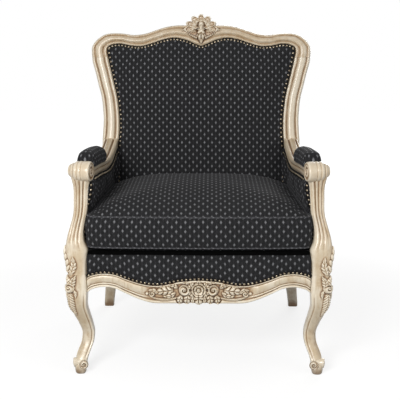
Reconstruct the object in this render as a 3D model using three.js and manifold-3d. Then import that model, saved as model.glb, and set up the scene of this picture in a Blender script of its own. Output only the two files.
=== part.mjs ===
// A bergere: a carved and painted armchair with closed, upholstered arms and a loose seat cushion.
// Millimetres, +Z up. The chair faces -Y, and left means the side at -X.
// Inside this file a point is (x, d, z): d is the distance behind the chair's foremost plane. The group
// that holds every mesh is moved at the end, so that the origin lies under the middle of the chair.
import * as THREE from "three";
import { mergeVertices } from "three/addons/utils/BufferGeometryUtils.js";
import Module from "manifold-3d";

const wasm = await Module();
wasm.setup();

// Fits
const JOINT_GAP = 0.3; // air between two pieces that touch
const OVERRUN = 8; // how far a cutting solid runs past the face that it cuts
const WELD = 0.001; // points closer than this are one point

// Seat frame
const LEG_TOP = 300;
const RAIL_RISE = 38; // how far the rails stand up above the legs, inside the cloth
const RAIL_INNER_DEPTH = 82;
const RAIL_TOP = LEG_TOP + RAIL_RISE;
const RAIL_INNER_BOTTOM = RAIL_TOP - RAIL_INNER_DEPTH;
const REBATE = 8; // step behind the show wood, where the cloth is nailed
const COVER_LAP = 14; // how far the spring cover lies on the rails
const TENON_LENGTH = 16;
const TENON_THICKNESS = 12;
const TENON_HEIGHT = 40;

// Front leg
const LEG_X = 351; // middle of the leg's top, from the chair's middle
const LEG_D = 46;
const LEG_WIDTH = 58;
const LEG_SWING = 26; // how far the ankle is drawn in, both ways
const FOOT_SCROLL_RADIUS = 15;
const FOOT_SCROLL_LENGTH = 34;
const FOOT_SCROLL_HEIGHT = 33;
const FOOT_SCROLL_REACH = 9;

// Front rail
const FRONT_FACE_D = 10; // face of the rail at the middle
const FRONT_BOW = 10; // how far its ends lie behind its middle
const FRONT_RAIL_THICKNESS = 46;
const FRONT_RAIL_INNER_D = FRONT_FACE_D + FRONT_RAIL_THICKNESS;
const FRONT_SHOW_RISE = 5; // highest point of the show wood, above the legs
const FRONT_SHOW_TOP = LEG_TOP + FRONT_SHOW_RISE;
const FRONT_SHOW_DEPTH = 87; // from there down to the lowest point of the lower edge
const RAIL_RELIEF = 7; // depth of the moulding

// Side rail
const SIDE_RAIL_THICKNESS = 40;
const SIDE_SHOW_DROP = 6; // highest point of the show wood, below the legs' top
const SIDE_SHOW_TOP = LEG_TOP - SIDE_SHOW_DROP;
const SIDE_SHOW_DEPTH = 46;
const SIDE_BOW = 6;
const SIDE_RAIL_INSET = 6; // its outer face, from the leg's outer face

// Arm post
const POST_HEIGHT = 290;
const POST_WIDTH = 65;
const POST_DEPTH = 52;
const POST_SWAY_X = 20; // how far its top leans in over its foot
const POST_SWAY_D = 24; // and back
const HEAD_RADIUS = 29;
const HEAD_LENGTH = 66;
const HEAD_SET_IN = 13; // the head's middle, from over the leg's middle
const HEAD_SET_BACK = 10;
const HEAD_RISE = 8; // and above the post's end
const HEAD_X = LEG_X - HEAD_SET_IN;
const HEAD_D = LEG_D + HEAD_SET_BACK;
const HEAD_Z = LEG_TOP + POST_HEIGHT + HEAD_RISE;

// Arm rail and its pad
const ARM_RISE = 5; // its top at the front, above the head's middle
const ARM_FRONT_TOP = HEAD_Z + ARM_RISE;
const ARM_DIP = 31; // how far it sinks between the post and the stile
const ARM_WIDTH = 48;
const ARM_THICKNESS = 30;
const ARM_SET_OUT = 9; // its front end, from the middle of the post's head
const ARM_PAD_AIR = 3; // between the head and the pad
const ARM_PAD_START = HEAD_D + HEAD_RADIUS + ARM_PAD_AIR;
const ARM_PAD_LENGTH = 262;
const ARM_PAD_WIDTH = 60;
const ARM_PAD_CROWN = 48;

// Back frame: a raked plane through (0, PIVOT_D, PIVOT_Z). Heights in it are measured along the rake.
const RAKE = THREE.MathUtils.degToRad(10);
const PIVOT_D = 592;
const PIVOT_Z = 400;
const FRAME_HALF_WIDTH = 372;
const FRAME_TOP = 595; // top of the crest, without its shell
const CREST_JOINT_SHARE = 0.8152;
const CREST_JOINT = FRAME_TOP * CREST_JOINT_SHARE;
const FRAME_THICKNESS = 42;
const SHELL_RISE = 37;
const SHELL_WIDTH = 112;

// Rear leg
const REAR_LEG_WIDTH = 48;
const REAR_LEG_SPLAY = 20;
const REAR_LEG_SWEEP = 86;

// Back and stay rails
const BACK_RAIL_THICKNESS = 28;
const STAY_RAIL_HEIGHT = 40;

// Corner blocks and their screws
const BLOCK_LEG = 62;
const BLOCK_HEIGHT = 44;
const BLOCK_LIFT_SHARE = 0.32; // its underside, as a share of the rails' inner depth
const BLOCK_BOTTOM = RAIL_INNER_BOTTOM + RAIL_INNER_DEPTH * BLOCK_LIFT_SHARE;
const SCREW_RADIUS = 2.5;
const SCREW_HEAD_RADIUS = 5;
const SCREW_LENGTH = 45;

// Seat springs and webbing
const WEB_WIDTH = 54;
const WEB_THICKNESS = 2;
const WEB_COUNT = 5;
const WEB_TAB = 16;
const SPRING_ROWS = 3;
const SPRING_RADIUS = 38;
const SPRING_WAIST = 24;
const SPRING_WIRE = 1.9;
const SPRING_TURNS = 3.5;
const SPRING_LEVEL_SHARE = 0.87; // how level its end turns lie

// Seat layers
const SPRING_COVER_THICKNESS = 2;
const STUFFING_THICKNESS = 22;
const DECK_THICKNESS = 7;
const DUST_COVER_THICKNESS = 1.2;
const SEAT_LAYER_BOTTOM = RAIL_TOP + JOINT_GAP;
const COVER_TOP = SEAT_LAYER_BOTTOM + SPRING_COVER_THICKNESS;
const STUFFING_BOTTOM = COVER_TOP + JOINT_GAP;
const STUFFING_TOP = STUFFING_BOTTOM + STUFFING_THICKNESS;
const DECK_BOTTOM = STUFFING_TOP + JOINT_GAP;
const DECK_TOP = DECK_BOTTOM + DECK_THICKNESS;

// Upholstered panels
const BORDER_STUFFING = 6; // how far its middle stands out from its edges
const ARM_SEAT_SET_OUT = 7; // inside arm at seat level, outwards of the stile's inner edge
const OUTSIDE_ARM_THICKNESS = 5;
const PAD_BACK = 14; // how deep the inside back sits in its frame
const PAD_EDGE = 5; // how far its edge stands out of the frame's face
const PAD_BULGE = 38; // and its middle, beyond the edge
const OUTSIDE_BACK_THICKNESS = 6;
const BACK_WEB_COUNT = 3;
const BACK_CLOTH_THICKNESS = 1.5;

// Seat cushion
const CUSHION_FRONT = 11;
const CUSHION_EAR = 6.5; // how far its front corners stand out past the inside arms
const CUSHION_SEAM_RISE = 11; // lower seam, above the cushion's underside
const CUSHION_BOXING_HEIGHT = 90; // from seam to seam
const CUSHION_CROWN = 60;
const CUSHION_PULL = 9; // how far the seams draw in from the boxing's bulge

// Tables of shares, one row for each height or place, chosen by hand.
// Front leg: share of the height, swing inwards, swing backwards, width.
const LEG_SHARES = [
  [0, 0.15, -0.5, 0.46],
  [0.015, 0.15, -0.5, 0.54],
  [0.06, 0.15, -0.46, 0.59],
  [0.1, 0.2, -0.34, 0.6],
  [0.16, 0.34, 0, 0.61],
  [0.22, 0.6, 0.42, 0.61],
  [0.28, 0.87, 0.78, 0.6],
  [0.34, 0.98, 0.96, 0.6],
  [0.4, 0.97, 0.97, 0.62],
  [0.49, 0.7, 0.7, 0.71],
  [0.58, 0.37, 0.3, 0.8],
  [0.68, 0.07, -0.12, 0.88],
  [0.77, 0, -0.25, 0.97],
  [0.86, 0, -0.14, 1],
  [1, 0, 0, 0.94],
];
// Rear leg, floor to seat: share of the height, splay, sweep, width.
const REAR_LEG_SHARES = [
  [0, 1, 1, 0.68],
  [0.04, 0.98, 0.97, 0.71],
  [0.18, 0.72, 0.74, 0.74],
  [0.36, 0.36, 0.45, 0.82],
  [0.57, 0.1, 0.19, 0.92],
  [0.76, 0, 0.05, 0.98],
  [1, 0, 0, 1],
];
// Arm post: share of the height, lean in, width, lean back, depth.
const POST_SHARES = [
  [0, 0, 0.84, 0, 1],
  [0.1, 0.02, 0.86, 0, 1],
  [0.19, -0.06, 0.95, 0, 1],
  [0.25, -0.06, 1, 0.05, 0.98],
  [0.33, -0.2, 0.83, 0.18, 0.92],
  [0.4, -0.16, 0.72, 0.4, 0.84],
  [0.48, 0.06, 0.65, 0.62, 0.78],
  [0.6, 0.45, 0.62, 0.85, 0.76],
  [0.75, 0.6, 0.67, 1, 0.76],
  [0.86, 0.66, 0.7, 0.95, 0.78],
  [0.94, 0.7, 0.84, 0.75, 0.86],
  [1, 0.72, 0.96, 0.55, 0.92],
];
// Head of the arm post, outer to inner end: share of the radius, share of the half-length.
const HEAD_SHARES = [
  [0, -1],
  [0.4, -0.98],
  [0.68, -0.84],
  [0.88, -0.6],
  [1, -0.25],
  [0.97, 0.15],
  [1, 0.55],
  [0.88, 0.88],
  [0.6, 1],
  [0, 1],
];
// Arm rail, post to stile: share of the length, share of the dip.
const ARM_DIP_SHARES = [
  [0, 0],
  [0.28, 0.4],
  [0.46, 0.75],
  [0.63, 1],
  [0.74, 0.87],
  [0.84, 0.5],
  [0.94, 0.08],
  [1, -0.25],
];
// Stile: share of the height to the crest joint, outer and inner edge.
const STILE_SHARES = [
  [-0.15, 0.89, 0.755],
  [0.2, 0.893, 0.755],
  [0.34, 0.9, 0.75],
  [0.42, 0.903, 0.742],
  [0.48, 0.898, 0.735],
  [0.56, 0.893, 0.734],
  [0.65, 0.898, 0.742],
  [0.73, 0.911, 0.756],
  [0.81, 0.938, 0.78],
  [0.9, 0.966, 0.807],
  [0.97, 0.992, 0.829],
  [1, 0.996, 0.836],
];
// Crest, joint to middle: share along it, outer edge across and up, inner edge across and up.
const CREST_SHARES = [
  [0, 0.996, CREST_JOINT_SHARE, 0.836, CREST_JOINT_SHARE],
  [0.05, 1, 0.846, 0.846, 0.843],
  [0.1, 0.995, 0.879, 0.842, 0.866],
  [0.16, 0.97, 0.905, 0.828, 0.877],
  [0.22, 0.932, 0.928, 0.814, 0.881],
  [0.28, 0.876, 0.948, 0.797, 0.884],
  [0.34, 0.806, 0.955, 0.771, 0.887],
  [0.42, 0.71, 0.953, 0.722, 0.887],
  [0.51, 0.61, 0.945, 0.634, 0.876],
  [0.6, 0.508, 0.953, 0.538, 0.874],
  [0.69, 0.4, 0.975, 0.43, 0.892],
  [0.77, 0.317, 0.991, 0.339, 0.911],
  [0.86, 0.21, 1, 0.237, 0.921],
  [0.92, 0.126, 1, 0.14, 0.909],
  [0.97, 0.054, 1, 0.054, 0.886],
  [1, 0, 1, 0, 0.874],
];
// Front rail: share of the half-length, upper and lower edge as shares below the highest point.
const FRONT_RAIL_SHARES = [
  [0, 0.195, 0.954],
  [0.17, 0.25, 0.99],
  [0.31, 0.36, 1],
  [0.42, 0.38, 0.985],
  [0.53, 0.31, 0.87],
  [0.65, 0.17, 0.68],
  [0.75, 0.035, 0.51],
  [0.86, 0, 0.46],
  [0.96, 0.07, 0.55],
  [1, 0.15, 0.66],
];
// Side rail, front to rear: share of the length, upper and lower edge, outward bow.
const SIDE_RAIL_SHARES = [
  [0, 0.06, 0.92, 0],
  [0.12, 0, 0.72, 0.5],
  [0.35, 0.08, 0.86, 1],
  [0.5, 0.14, 1, 1],
  [0.65, 0.08, 0.9, 0.9],
  [0.88, 0, 0.74, 0.4],
  [1, 0.06, 0.9, 0],
];
// Cushion outline from above, front middle to the arm: share of the width over its ears, share of the way
// back to the inside arm.
const CUSHION_EAR_SHARES = [
  [0, 0],
  [0.35, 0.018],
  [0.7, 0.075],
  [0.88, 0.14],
  [0.96, 0.22],
  [0.99, 0.35],
  [1, 0.55],
  [0.99, 0.78],
];
// From there to the rear middle: share of the width between the arms, share of the way to the rear.
const CUSHION_SIDE_SHARES = [
  [0.994, 0],
  [0.994, 0.14],
  [0.989, 0.47],
  [0.984, 0.79],
  [0.971, 0.905],
  [0.932, 0.96],
  [0.855, 0.986],
  [0.688, 0.998],
  [0.333, 1],
];
// Cushion from its underside to its crown: share of the way in to the middle, share of the pull inwards,
// and the share of the rise below, between and above the seams.
const CUSHION_RISE_SHARES = [
  [0.3, 1, 0, 0, 0],
  [0.08, 1, 0.35, 0, 0],
  [0, 1, 1, 0, 0],
  [0, 0.4, 1, 0.18, 0],
  [0, 0, 1, 0.5, 0],
  [0, 0.4, 1, 0.82, 0],
  [0, 1, 1, 1, 0],
  [0.035, 1, 1, 1, 0.12],
  [0.1, 1, 1, 1, 0.28],
  [0.22, 1, 1, 1, 0.5],
  [0.42, 1, 1, 1, 0.76],
  [0.66, 1, 1, 1, 0.94],
  [0.88, 1, 1, 1, 1],
];
// Inside arm at one place along it, bottom to top: share of its height, share of the way from the seat
// line to the arm rail's inner edge.
const INSIDE_ARM_SHARES = [
  [0, 0],
  [0.3, 0],
  [0.56, 0],
  [0.7, 0.35],
  [0.82, 0.8],
  [0.92, 1],
  [0.98, 0.9],
  [1, 0.55],
];
// Inside back, edge to middle: share of the way in, share of the bulge.
const BACK_PAD_SHARES = [
  [0.012, 0.1],
  [0.05, 0.3],
  [0.14, 0.56],
  [0.3, 0.81],
  [0.52, 0.95],
  [0.78, 1],
];
// Arm pad across: share of the width, share of the crown.
const ARM_PAD_SHARES = [
  [-0.38, 0],
  [-0.47, 0.1],
  [-0.5, 0.3],
  [-0.46, 0.56],
  [-0.36, 0.79],
  [-0.2, 0.95],
  [0, 1],
];
// Arm pad lengthwise: share of the length, share of the section.
const ARM_PAD_END_SHARES = [
  [0, 0.62],
  [0.03, 0.84],
  [0.125, 0.98],
  [0.25, 1],
  [0.5, 1],
];
// Moulding of the back frame: share of its width from the outer edge, share of its thickness.
const FRAME_SECTION_SHARES = [
  [0.05, 0],
  [0, 0.12],
  [0, 0.64],
  [0.05, 0.86],
  [0.13, 0.96],
  [0.21, 0.93],
  [0.25, 0.85],
  [0.3, 0.95],
  [0.48, 1],
  [0.66, 0.94],
  [0.7, 0.83],
  [0.76, 0.91],
  [0.88, 0.95],
  [0.97, 0.87],
  [1, 0.72],
  [1, 0],
];
// Moulding of the seat rails: share of the show height from the bottom, share of the relief.
const RAIL_SECTION_SHARES = [
  [0, 0.55],
  [0.03, 0.15],
  [0.12, 0],
  [0.2, 0.35],
  [0.24, 0.75],
  [0.3, 0.3],
  [0.5, 0.05],
  [0.7, 0.35],
  [0.76, 0.8],
  [0.82, 0.3],
  [0.92, 0.1],
  [1, 0.6],
];

// Finishes
const paint = new THREE.MeshStandardMaterial({ color: 0xd2c3a8, roughness: 0.45, metalness: 0.1 });
const rawWood = new THREE.MeshStandardMaterial({ color: 0xb98d5c, roughness: 0.8, metalness: 0 });
const cloth = new THREE.MeshStandardMaterial({ color: 0x26262a, roughness: 0.85, metalness: 0 });
const hessian = new THREE.MeshStandardMaterial({ color: 0xa88b5e, roughness: 0.95, metalness: 0 });
const wadding = new THREE.MeshStandardMaterial({ color: 0xd8d2c4, roughness: 1, metalness: 0 });
const lining = new THREE.MeshStandardMaterial({ color: 0x17171a, roughness: 0.95, metalness: 0 });
const springSteel = new THREE.MeshStandardMaterial({ color: 0x8a8d90, roughness: 0.4, metalness: 0.9 });

// Reading tables and building skins

// A smooth curve through the rows of a table. The first column is the place along the piece.
function reader(rows) {
  return (place) => {
    let last = 1;
    while (last < rows.length - 1 && place > rows[last][0]) last += 1;
    const from = rows[last - 1];
    const to = rows[last];
    const before = rows[last - 2] ?? from;
    const after = rows[last + 1] ?? to;
    const span = to[0] - from[0];
    const s = THREE.MathUtils.clamp((place - from[0]) / span, 0, 1);
    return from.slice(1).map((value, column) => {
      const k = column + 1;
      const slopeIn = ((to[k] - before[k]) / (to[0] - before[0])) * span;
      const slopeOut = ((after[k] - from[k]) / (after[0] - from[0])) * span;
      return (
        value * (2 * s ** 3 - 3 * s ** 2 + 1) +
        to[k] * (3 * s ** 2 - 2 * s ** 3) +
        slopeIn * (s ** 3 - 2 * s ** 2 + s) +
        slopeOut * (s ** 3 - s ** 2)
      );
    });
  };
}

const point = (x, d, z) => new THREE.Vector3(x, d, z);
const mix = THREE.MathUtils.lerp;
const steps = (count) => Array.from({ length: count + 1 }, (_, i) => i / count);

// Two ways to close a flat ring of points. Each gives triangles that run the way of the ring.

// Spokes from the ring's middle, which gets the next free number.
function fanCap(ring) {
  const middle = ring.reduce((sum, p) => sum.add(p), point(0, 0, 0)).divideScalar(ring.length);
  const faces = ring.map((_, i) => [i, (i + 1) % ring.length, ring.length]);
  return { points: [middle], faces };
}

// No new point: for a ring with a step in it, which its middle cannot see all round.
function flatCap(ring) {
  const normal = point(0, 0, 0);
  ring.forEach((p, i) => normal.add(p.clone().cross(ring[(i + 1) % ring.length])));
  const size = normal.toArray().map(Math.abs);
  const drop = size.indexOf(Math.max(...size));
  const flat = ring.map((p) => new THREE.Vector2(...p.toArray().filter((_, axis) => axis !== drop)));
  const isClockwise = THREE.ShapeUtils.isClockWise(flat);
  const found = THREE.ShapeUtils.triangulateShape(isClockwise ? [...flat].reverse() : flat, []);
  const last = ring.length - 1;
  return { points: [], faces: isClockwise ? found.map((f) => f.map((i) => last - i).reverse()) : found };
}

// A closed solid skinned over rings of points, which all have the same number of points.
function skin(rings, cap = fanCap) {
  const count = rings[0].length;
  const faces = [];
  rings.slice(1).forEach((_, r) => {
    for (let k = 0; k < count; k += 1) {
      const here = r * count + k;
      const beside = r * count + ((k + 1) % count);
      faces.push([here, beside, here + count], [beside, beside + count, here + count]);
    }
  });
  const points = rings.flat();
  [
    { ring: rings[0], first: 0, flip: true },
    { ring: rings.at(-1), first: points.length - count, flip: false },
  ].forEach(({ ring, first, flip }) => {
    const end = cap(ring);
    const added = points.length;
    points.push(...end.points);
    const number = (i) => (i < count ? first + i : added + i - count);
    end.faces.forEach((face) => {
      const numbered = face.map(number);
      faces.push(flip ? numbered.reverse() : numbered);
    });
  });
  return solidOf(points, faces);
}

// A manifold solid from points and triangles, turned so that its faces point outwards.
function solidOf(points, faces) {
  const six = faces.reduce(
    (sum, [a, b, c]) => sum + points[a].dot(points[b].clone().cross(points[c])),
    0,
  );
  const outward = six > 0 ? faces : faces.map(([a, b, c]) => [a, c, b]);
  const geometry = new THREE.BufferGeometry().setFromPoints(points);
  geometry.setIndex(outward.flat());
  return fromGeometry(geometry);
}

function fromGeometry(geometry) {
  const bare = new THREE.BufferGeometry();
  bare.setAttribute("position", geometry.getAttribute("position"));
  if (geometry.index) bare.setIndex(geometry.index);
  const merged = mergeVertices(bare, WELD);
  const found = merged.index.array;
  const corners = [];
  for (let i = 0; i < found.length; i += 3) {
    const [a, b, c] = found.slice(i, i + 3);
    if (a !== b && b !== c && c !== a) corners.push(a, b, c);
  }
  return new wasm.Manifold(
    new wasm.Mesh({
      numProp: 3,
      vertProperties: merged.attributes.position.array,
      triVerts: new Uint32Array(corners),
    }),
  );
}

function toGeometry(solid) {
  const mesh = solid.getMesh();
  const geometry = new THREE.BufferGeometry();
  geometry.setAttribute("position", new THREE.BufferAttribute(mesh.vertProperties, mesh.numProp));
  geometry.setIndex(new THREE.BufferAttribute(mesh.triVerts, 1));
  return geometry;
}

// A solid with others taken away; of what is left, the largest body is the piece.
function cut(solid, ...tools) {
  const left = tools.reduce((rest, tool) => rest.subtract(tool), solid);
  return left.decompose().reduce((best, body) => (body.volume() > best.volume() ? body : best));
}

const join = (first, ...others) => others.reduce((whole, other) => whole.add(other), first);

function boxBetween(low, high) {
  const size = high.map((value, axis) => value - low[axis]);
  const middle = high.map((value, axis) => (value + low[axis]) / 2);
  return fromGeometry(new THREE.BoxGeometry(...size).translate(...middle));
}

// A turned solid about the z axis through a middle point, from [radius, height] pairs.
function turned(profile, segments) {
  const outline = profile.map(([radius, height]) => new THREE.Vector2(radius, height));
  return fromGeometry(new THREE.LatheGeometry(outline, segments).rotateX(Math.PI / 2));
}

function placed(solid, matrix) {
  return fromGeometry(toGeometry(solid).applyMatrix4(matrix));
}

// The same solid on the chair's other side.
function mirroredX(solid) {
  const geometry = toGeometry(solid).scale(-1, 1, 1);
  return fromGeometry(geometry.setIndex([...geometry.index.array].reverse()));
}
const bothSides = (solid) => [solid, mirroredX(solid)];

// A ball with three different radii.
function lump(middle, radii, rings = 5, sides = 7) {
  const ball = new THREE.SphereGeometry(1, sides, rings);
  return fromGeometry(ball.scale(...radii).translate(...middle));
}

// An upright slab between two heights with the same outline, given as [x, d] pairs.
function slab(outline, bottom, top) {
  return skin([bottom, top].map((z) => outline.map(([x, d]) => point(x, d, z))));
}

// Front leg

const legAt = reader(LEG_SHARES);
const LEG_SIDES = 16;
const LEG_STEPS = 15;

// Ring of a squarish section: a power curve between a circle (2) and a square (large).
function squarish(middle, halfWidth, halfDepth, power) {
  return Array.from({ length: LEG_SIDES }, (_, k) => {
    const turn = (k / LEG_SIDES) * 2 * Math.PI;
    const [c, s] = [Math.cos(turn), Math.sin(turn)];
    const reach = (Math.abs(c) ** power + Math.abs(s) ** power) ** (-1 / power);
    return point(middle.x + halfWidth * reach * c, middle.y + halfDepth * reach * s, middle.z);
  });
}

function legRings(grow) {
  return steps(LEG_STEPS).map((share) => {
    const [inwards, back, width] = legAt(share);
    const half = (width * LEG_WIDTH) / 2 + grow;
    const middle = point(-LEG_X + inwards * LEG_SWING, LEG_D + back * LEG_SWING, share * LEG_TOP);
    return squarish(middle, half, half, mix(2.4, 5, share ** 2));
  });
}

// Inner faces of the leg's square top, which the rails meet.
const LEG_INNER_X = LEG_X - LEG_WIDTH / 2;
const LEG_INNER_D = LEG_D + LEG_WIDTH / 2;
const LEG_BLOCK_BOTTOM = FRONT_SHOW_TOP - FRONT_SHOW_DEPTH * 0.66;

function frontLeg() {
  const block = boxBetween(
    [-LEG_X - LEG_WIDTH / 4, LEG_D - LEG_WIDTH / 4, LEG_BLOCK_BOTTOM],
    [-LEG_INNER_X, LEG_INNER_D, LEG_TOP],
  );
  const out = new THREE.Vector3(-1, -1, 0).normalize();
  const [inwards, back] = legAt(FOOT_SCROLL_HEIGHT / LEG_TOP);
  const scroll = turned(
    [
      [0, -FOOT_SCROLL_LENGTH / 2],
      [FOOT_SCROLL_RADIUS * 0.5, -FOOT_SCROLL_LENGTH / 2],
      [FOOT_SCROLL_RADIUS * 0.85, -FOOT_SCROLL_LENGTH * 0.4],
      [FOOT_SCROLL_RADIUS, -FOOT_SCROLL_LENGTH * 0.3],
      [FOOT_SCROLL_RADIUS * 0.93, 0],
      [FOOT_SCROLL_RADIUS, FOOT_SCROLL_LENGTH * 0.3],
      [FOOT_SCROLL_RADIUS * 0.85, FOOT_SCROLL_LENGTH * 0.4],
      [FOOT_SCROLL_RADIUS * 0.5, FOOT_SCROLL_LENGTH / 2],
      [0, FOOT_SCROLL_LENGTH / 2],
    ],
    12,
  );
  const lie = new THREE.Matrix4().makeBasis(out, point(0, 0, 1), point(0, 0, 1).cross(out).negate());
  lie.setPosition(
    -LEG_X + inwards * LEG_SWING + out.x * FOOT_SCROLL_REACH,
    LEG_D + back * LEG_SWING + out.y * FOOT_SCROLL_REACH,
    FOOT_SCROLL_HEIGHT,
  );
  const mortises = [frontRailTenon, sideRailFrontTenon, postTenon].map((tenon) => tenon(JOINT_GAP));
  return cut(join(skin(legRings(0)), block, placed(scroll, lie)), ...mortises, screwHole(true));
}

// What a neighbour must leave free round the leg and its square block.
const legSpace = join(
  skin(legRings(JOINT_GAP)),
  boxBetween(
    [-LEG_X - LEG_WIDTH, 0, LEG_BLOCK_BOTTOM - JOINT_GAP],
    [-LEG_INNER_X + JOINT_GAP, LEG_INNER_D + JOINT_GAP, LEG_TOP + JOINT_GAP],
  ),
);

// Tenons. Each is a box that grows by the joint gap when it cuts its mortise.

const TENON_MIDDLE = (LEG_TOP + LEG_BLOCK_BOTTOM) / 2;

function frontRailTenon(grow) {
  const middle = (FRONT_RAIL_INNER_D + FRONT_FACE_D + FRONT_BOW + REBATE) / 2;
  return boxBetween(
    [
      -LEG_INNER_X - TENON_LENGTH - grow,
      middle - TENON_THICKNESS / 2 - grow,
      TENON_MIDDLE - TENON_HEIGHT / 4 - grow,
    ],
    [
      -LEG_INNER_X + TENON_LENGTH,
      middle + TENON_THICKNESS / 2 + grow,
      TENON_MIDDLE + TENON_HEIGHT / 4 + grow,
    ],
  );
}

function sideRailFrontTenon(grow) {
  const middle = -SIDE_RAIL_FRONT_X;
  return boxBetween(
    [
      middle - TENON_THICKNESS / 2 - grow,
      LEG_INNER_D - TENON_LENGTH / 2 - grow,
      TENON_MIDDLE - TENON_HEIGHT / 4 - grow,
    ],
    [
      middle + TENON_THICKNESS / 2 + grow,
      LEG_INNER_D + TENON_LENGTH,
      TENON_MIDDLE + TENON_HEIGHT / 4 + grow,
    ],
  );
}

function postTenon(grow) {
  const half = TENON_THICKNESS / 2 + grow;
  return boxBetween(
    [-LEG_X - half, LEG_D - half, LEG_TOP - TENON_LENGTH / 2 - grow],
    [-LEG_X + half, LEG_D + half, LEG_TOP + TENON_LENGTH],
  );
}

// Arm post

const postAt = reader(POST_SHARES);
const POST_STEPS = 16;
const POST_FLUTES = 0.06; // depth of the flutes, as a share of the section
const POST_FOOT = LEG_TOP + JOINT_GAP;

// The post's section at a height, as a middle and two half-sizes.
function postSection(share) {
  const [leanIn, width, leanBack, depth] = postAt(share);
  return {
    middle: point(
      -LEG_X + leanIn * POST_SWAY_X,
      LEG_D + leanBack * POST_SWAY_D,
      mix(POST_FOOT, LEG_TOP + POST_HEIGHT, share),
    ),
    halfWidth: (width * POST_WIDTH) / 2,
    halfDepth: (depth * POST_DEPTH) / 2,
  };
}

function postRings(grow, fluted) {
  return steps(POST_STEPS).map((share) => {
    const { middle, halfWidth, halfDepth } = postSection(share);
    const ring = squarish(middle, halfWidth + grow, halfDepth + grow, 3.2);
    return ring.map((p, k) => {
      // two flutes run down the front face
      const isFlute = fluted && (k === 11 || k === 13);
      return isFlute ? p.lerp(middle, POST_FLUTES * 2) : p;
    });
  });
}

// The rolled head: a barrel across the top of the post.
function postHead(grow) {
  const half = HEAD_LENGTH / 2 + grow;
  const radius = HEAD_RADIUS + grow;
  const barrel = turned(
    HEAD_SHARES.map(([r, along]) => [radius * r, half * along]),
    14,
  );
  const across = new THREE.Matrix4().makeRotationY(Math.PI / 2);
  return placed(barrel, across.setPosition(-HEAD_X, HEAD_D, HEAD_Z));
}

const postShape = (grow, fluted) => join(skin(postRings(grow, fluted)), postHead(grow));

function armPost() {
  return cut(join(postShape(0, true), postTenon(0)), armFrontTenon(JOINT_GAP));
}

// What a neighbour must leave free round the post, from below its foot to its head.
const postSpace = postShape(JOINT_GAP, false);

// Arm rail

const stileAt = reader(STILE_SHARES);

// A point of the back frame: across, up along the rake, and out of its face.
function backPoint(across, up, out) {
  return point(
    across,
    PIVOT_D + up * Math.sin(RAKE) - out * Math.cos(RAKE),
    PIVOT_Z + up * Math.cos(RAKE) + out * Math.sin(RAKE),
  );
}
const upAtHeight = (z) => (z - PIVOT_Z) / Math.cos(RAKE);
const faceAtHeight = (z) => PIVOT_D + (z - PIVOT_Z) * Math.tan(RAKE);

function stileEdges(up) {
  const [outer, inner] = stileAt(up / CREST_JOINT);
  return { outer: -outer * FRAME_HALF_WIDTH, inner: -inner * FRAME_HALF_WIDTH };
}

const armDipAt = reader(ARM_DIP_SHARES);
const armTopZ = (share) => ARM_FRONT_TOP - armDipAt(share)[0] * ARM_DIP;
const ARM_REAR_TOP = armTopZ(1);
const ARM_REAR_UP = upAtHeight(ARM_REAR_TOP - ARM_THICKNESS / 2);
const ARM_REAR_EDGES = stileEdges(ARM_REAR_UP);
const ARM_REAR_X = (ARM_REAR_EDGES.outer + ARM_REAR_EDGES.inner) / 2;
const ARM_FRONT_X = -HEAD_X + ARM_SET_OUT;
const ARM_FRONT_D = HEAD_D + HEAD_RADIUS * 0.5;
const ARM_REAR_D = faceAtHeight(ARM_REAR_TOP) + OVERRUN;
const armShares = steps(8);

// Middle of the arm rail's top, from the post (0) to the stile (1).
function armTop(share) {
  return point(
    mix(ARM_FRONT_X, ARM_REAR_X, share),
    mix(ARM_FRONT_D, ARM_REAR_D, share),
    armTopZ(share),
  );
}

// Arm section: share of the width from the outer side, share of the thickness from the top down.
const ARM_SECTION_SHARES = [
  [0.08, 0],
  [0.9, 0],
  [0.98, 0.1],
  [1, 0.3],
  [0.93, 0.42],
  [0.95, 0.5],
  [1, 0.62],
  [0.97, 0.85],
  [0.88, 1],
  [0.1, 1],
  [0, 0.8],
  [0, 0.3],
];

function armRings(grow) {
  return armShares.map((share) => {
    const top = armTop(share);
    return ARM_SECTION_SHARES.map(([across, down]) =>
      point(
        top.x + (across - 0.5) * (ARM_WIDTH + 2 * grow),
        top.y,
        top.z + grow - down * (ARM_THICKNESS + 2 * grow),
      ),
    );
  });
}

// Shoulders at both ends meet the post's head and the stile.
function armRail() {
  const rail = cut(skin(armRings(0)), postSpace, rearPostSpace);
  return join(rail, armFrontTenon(0), armRearTenon(0));
}

function armFrontTenon(grow) {
  const top = armTop(0);
  const half = TENON_THICKNESS / 2 + grow;
  const z = ARM_FRONT_TOP - ARM_THICKNESS / 2;
  return boxBetween(
    [top.x - half, HEAD_D + HEAD_RADIUS - TENON_LENGTH - grow, z - half],
    [top.x + half, HEAD_D + HEAD_RADIUS + TENON_LENGTH, z + half],
  );
}

function armRearTenon(grow) {
  const half = TENON_THICKNESS / 2 + grow;
  const z = ARM_REAR_TOP - ARM_THICKNESS / 2;
  const face = faceAtHeight(z);
  return boxBetween(
    [ARM_REAR_X - half, face - TENON_LENGTH, z - half],
    [ARM_REAR_X + half, face + TENON_LENGTH + grow, z + half],
  );
}

// Rear post: leg and stile in one

const rearLegAt = reader(REAR_LEG_SHARES);
const STILE_FOOT_UP = upAtHeight(RAIL_TOP);
const REAR_LEG_STEPS = 6;
const STILE_STEPS = 10;

// A point of a section, given in shares of its width (outer to inner) and thickness (back to front).
function sectionPoint(outer, inner, up, [across, forward], grow) {
  const half = (inner - outer) / 2 + grow;
  const out = -FRAME_THICKNESS - grow + forward * (FRAME_THICKNESS + 2 * grow);
  return backPoint((outer + inner) / 2 + (2 * across - 1) * half, up, out);
}

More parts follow.
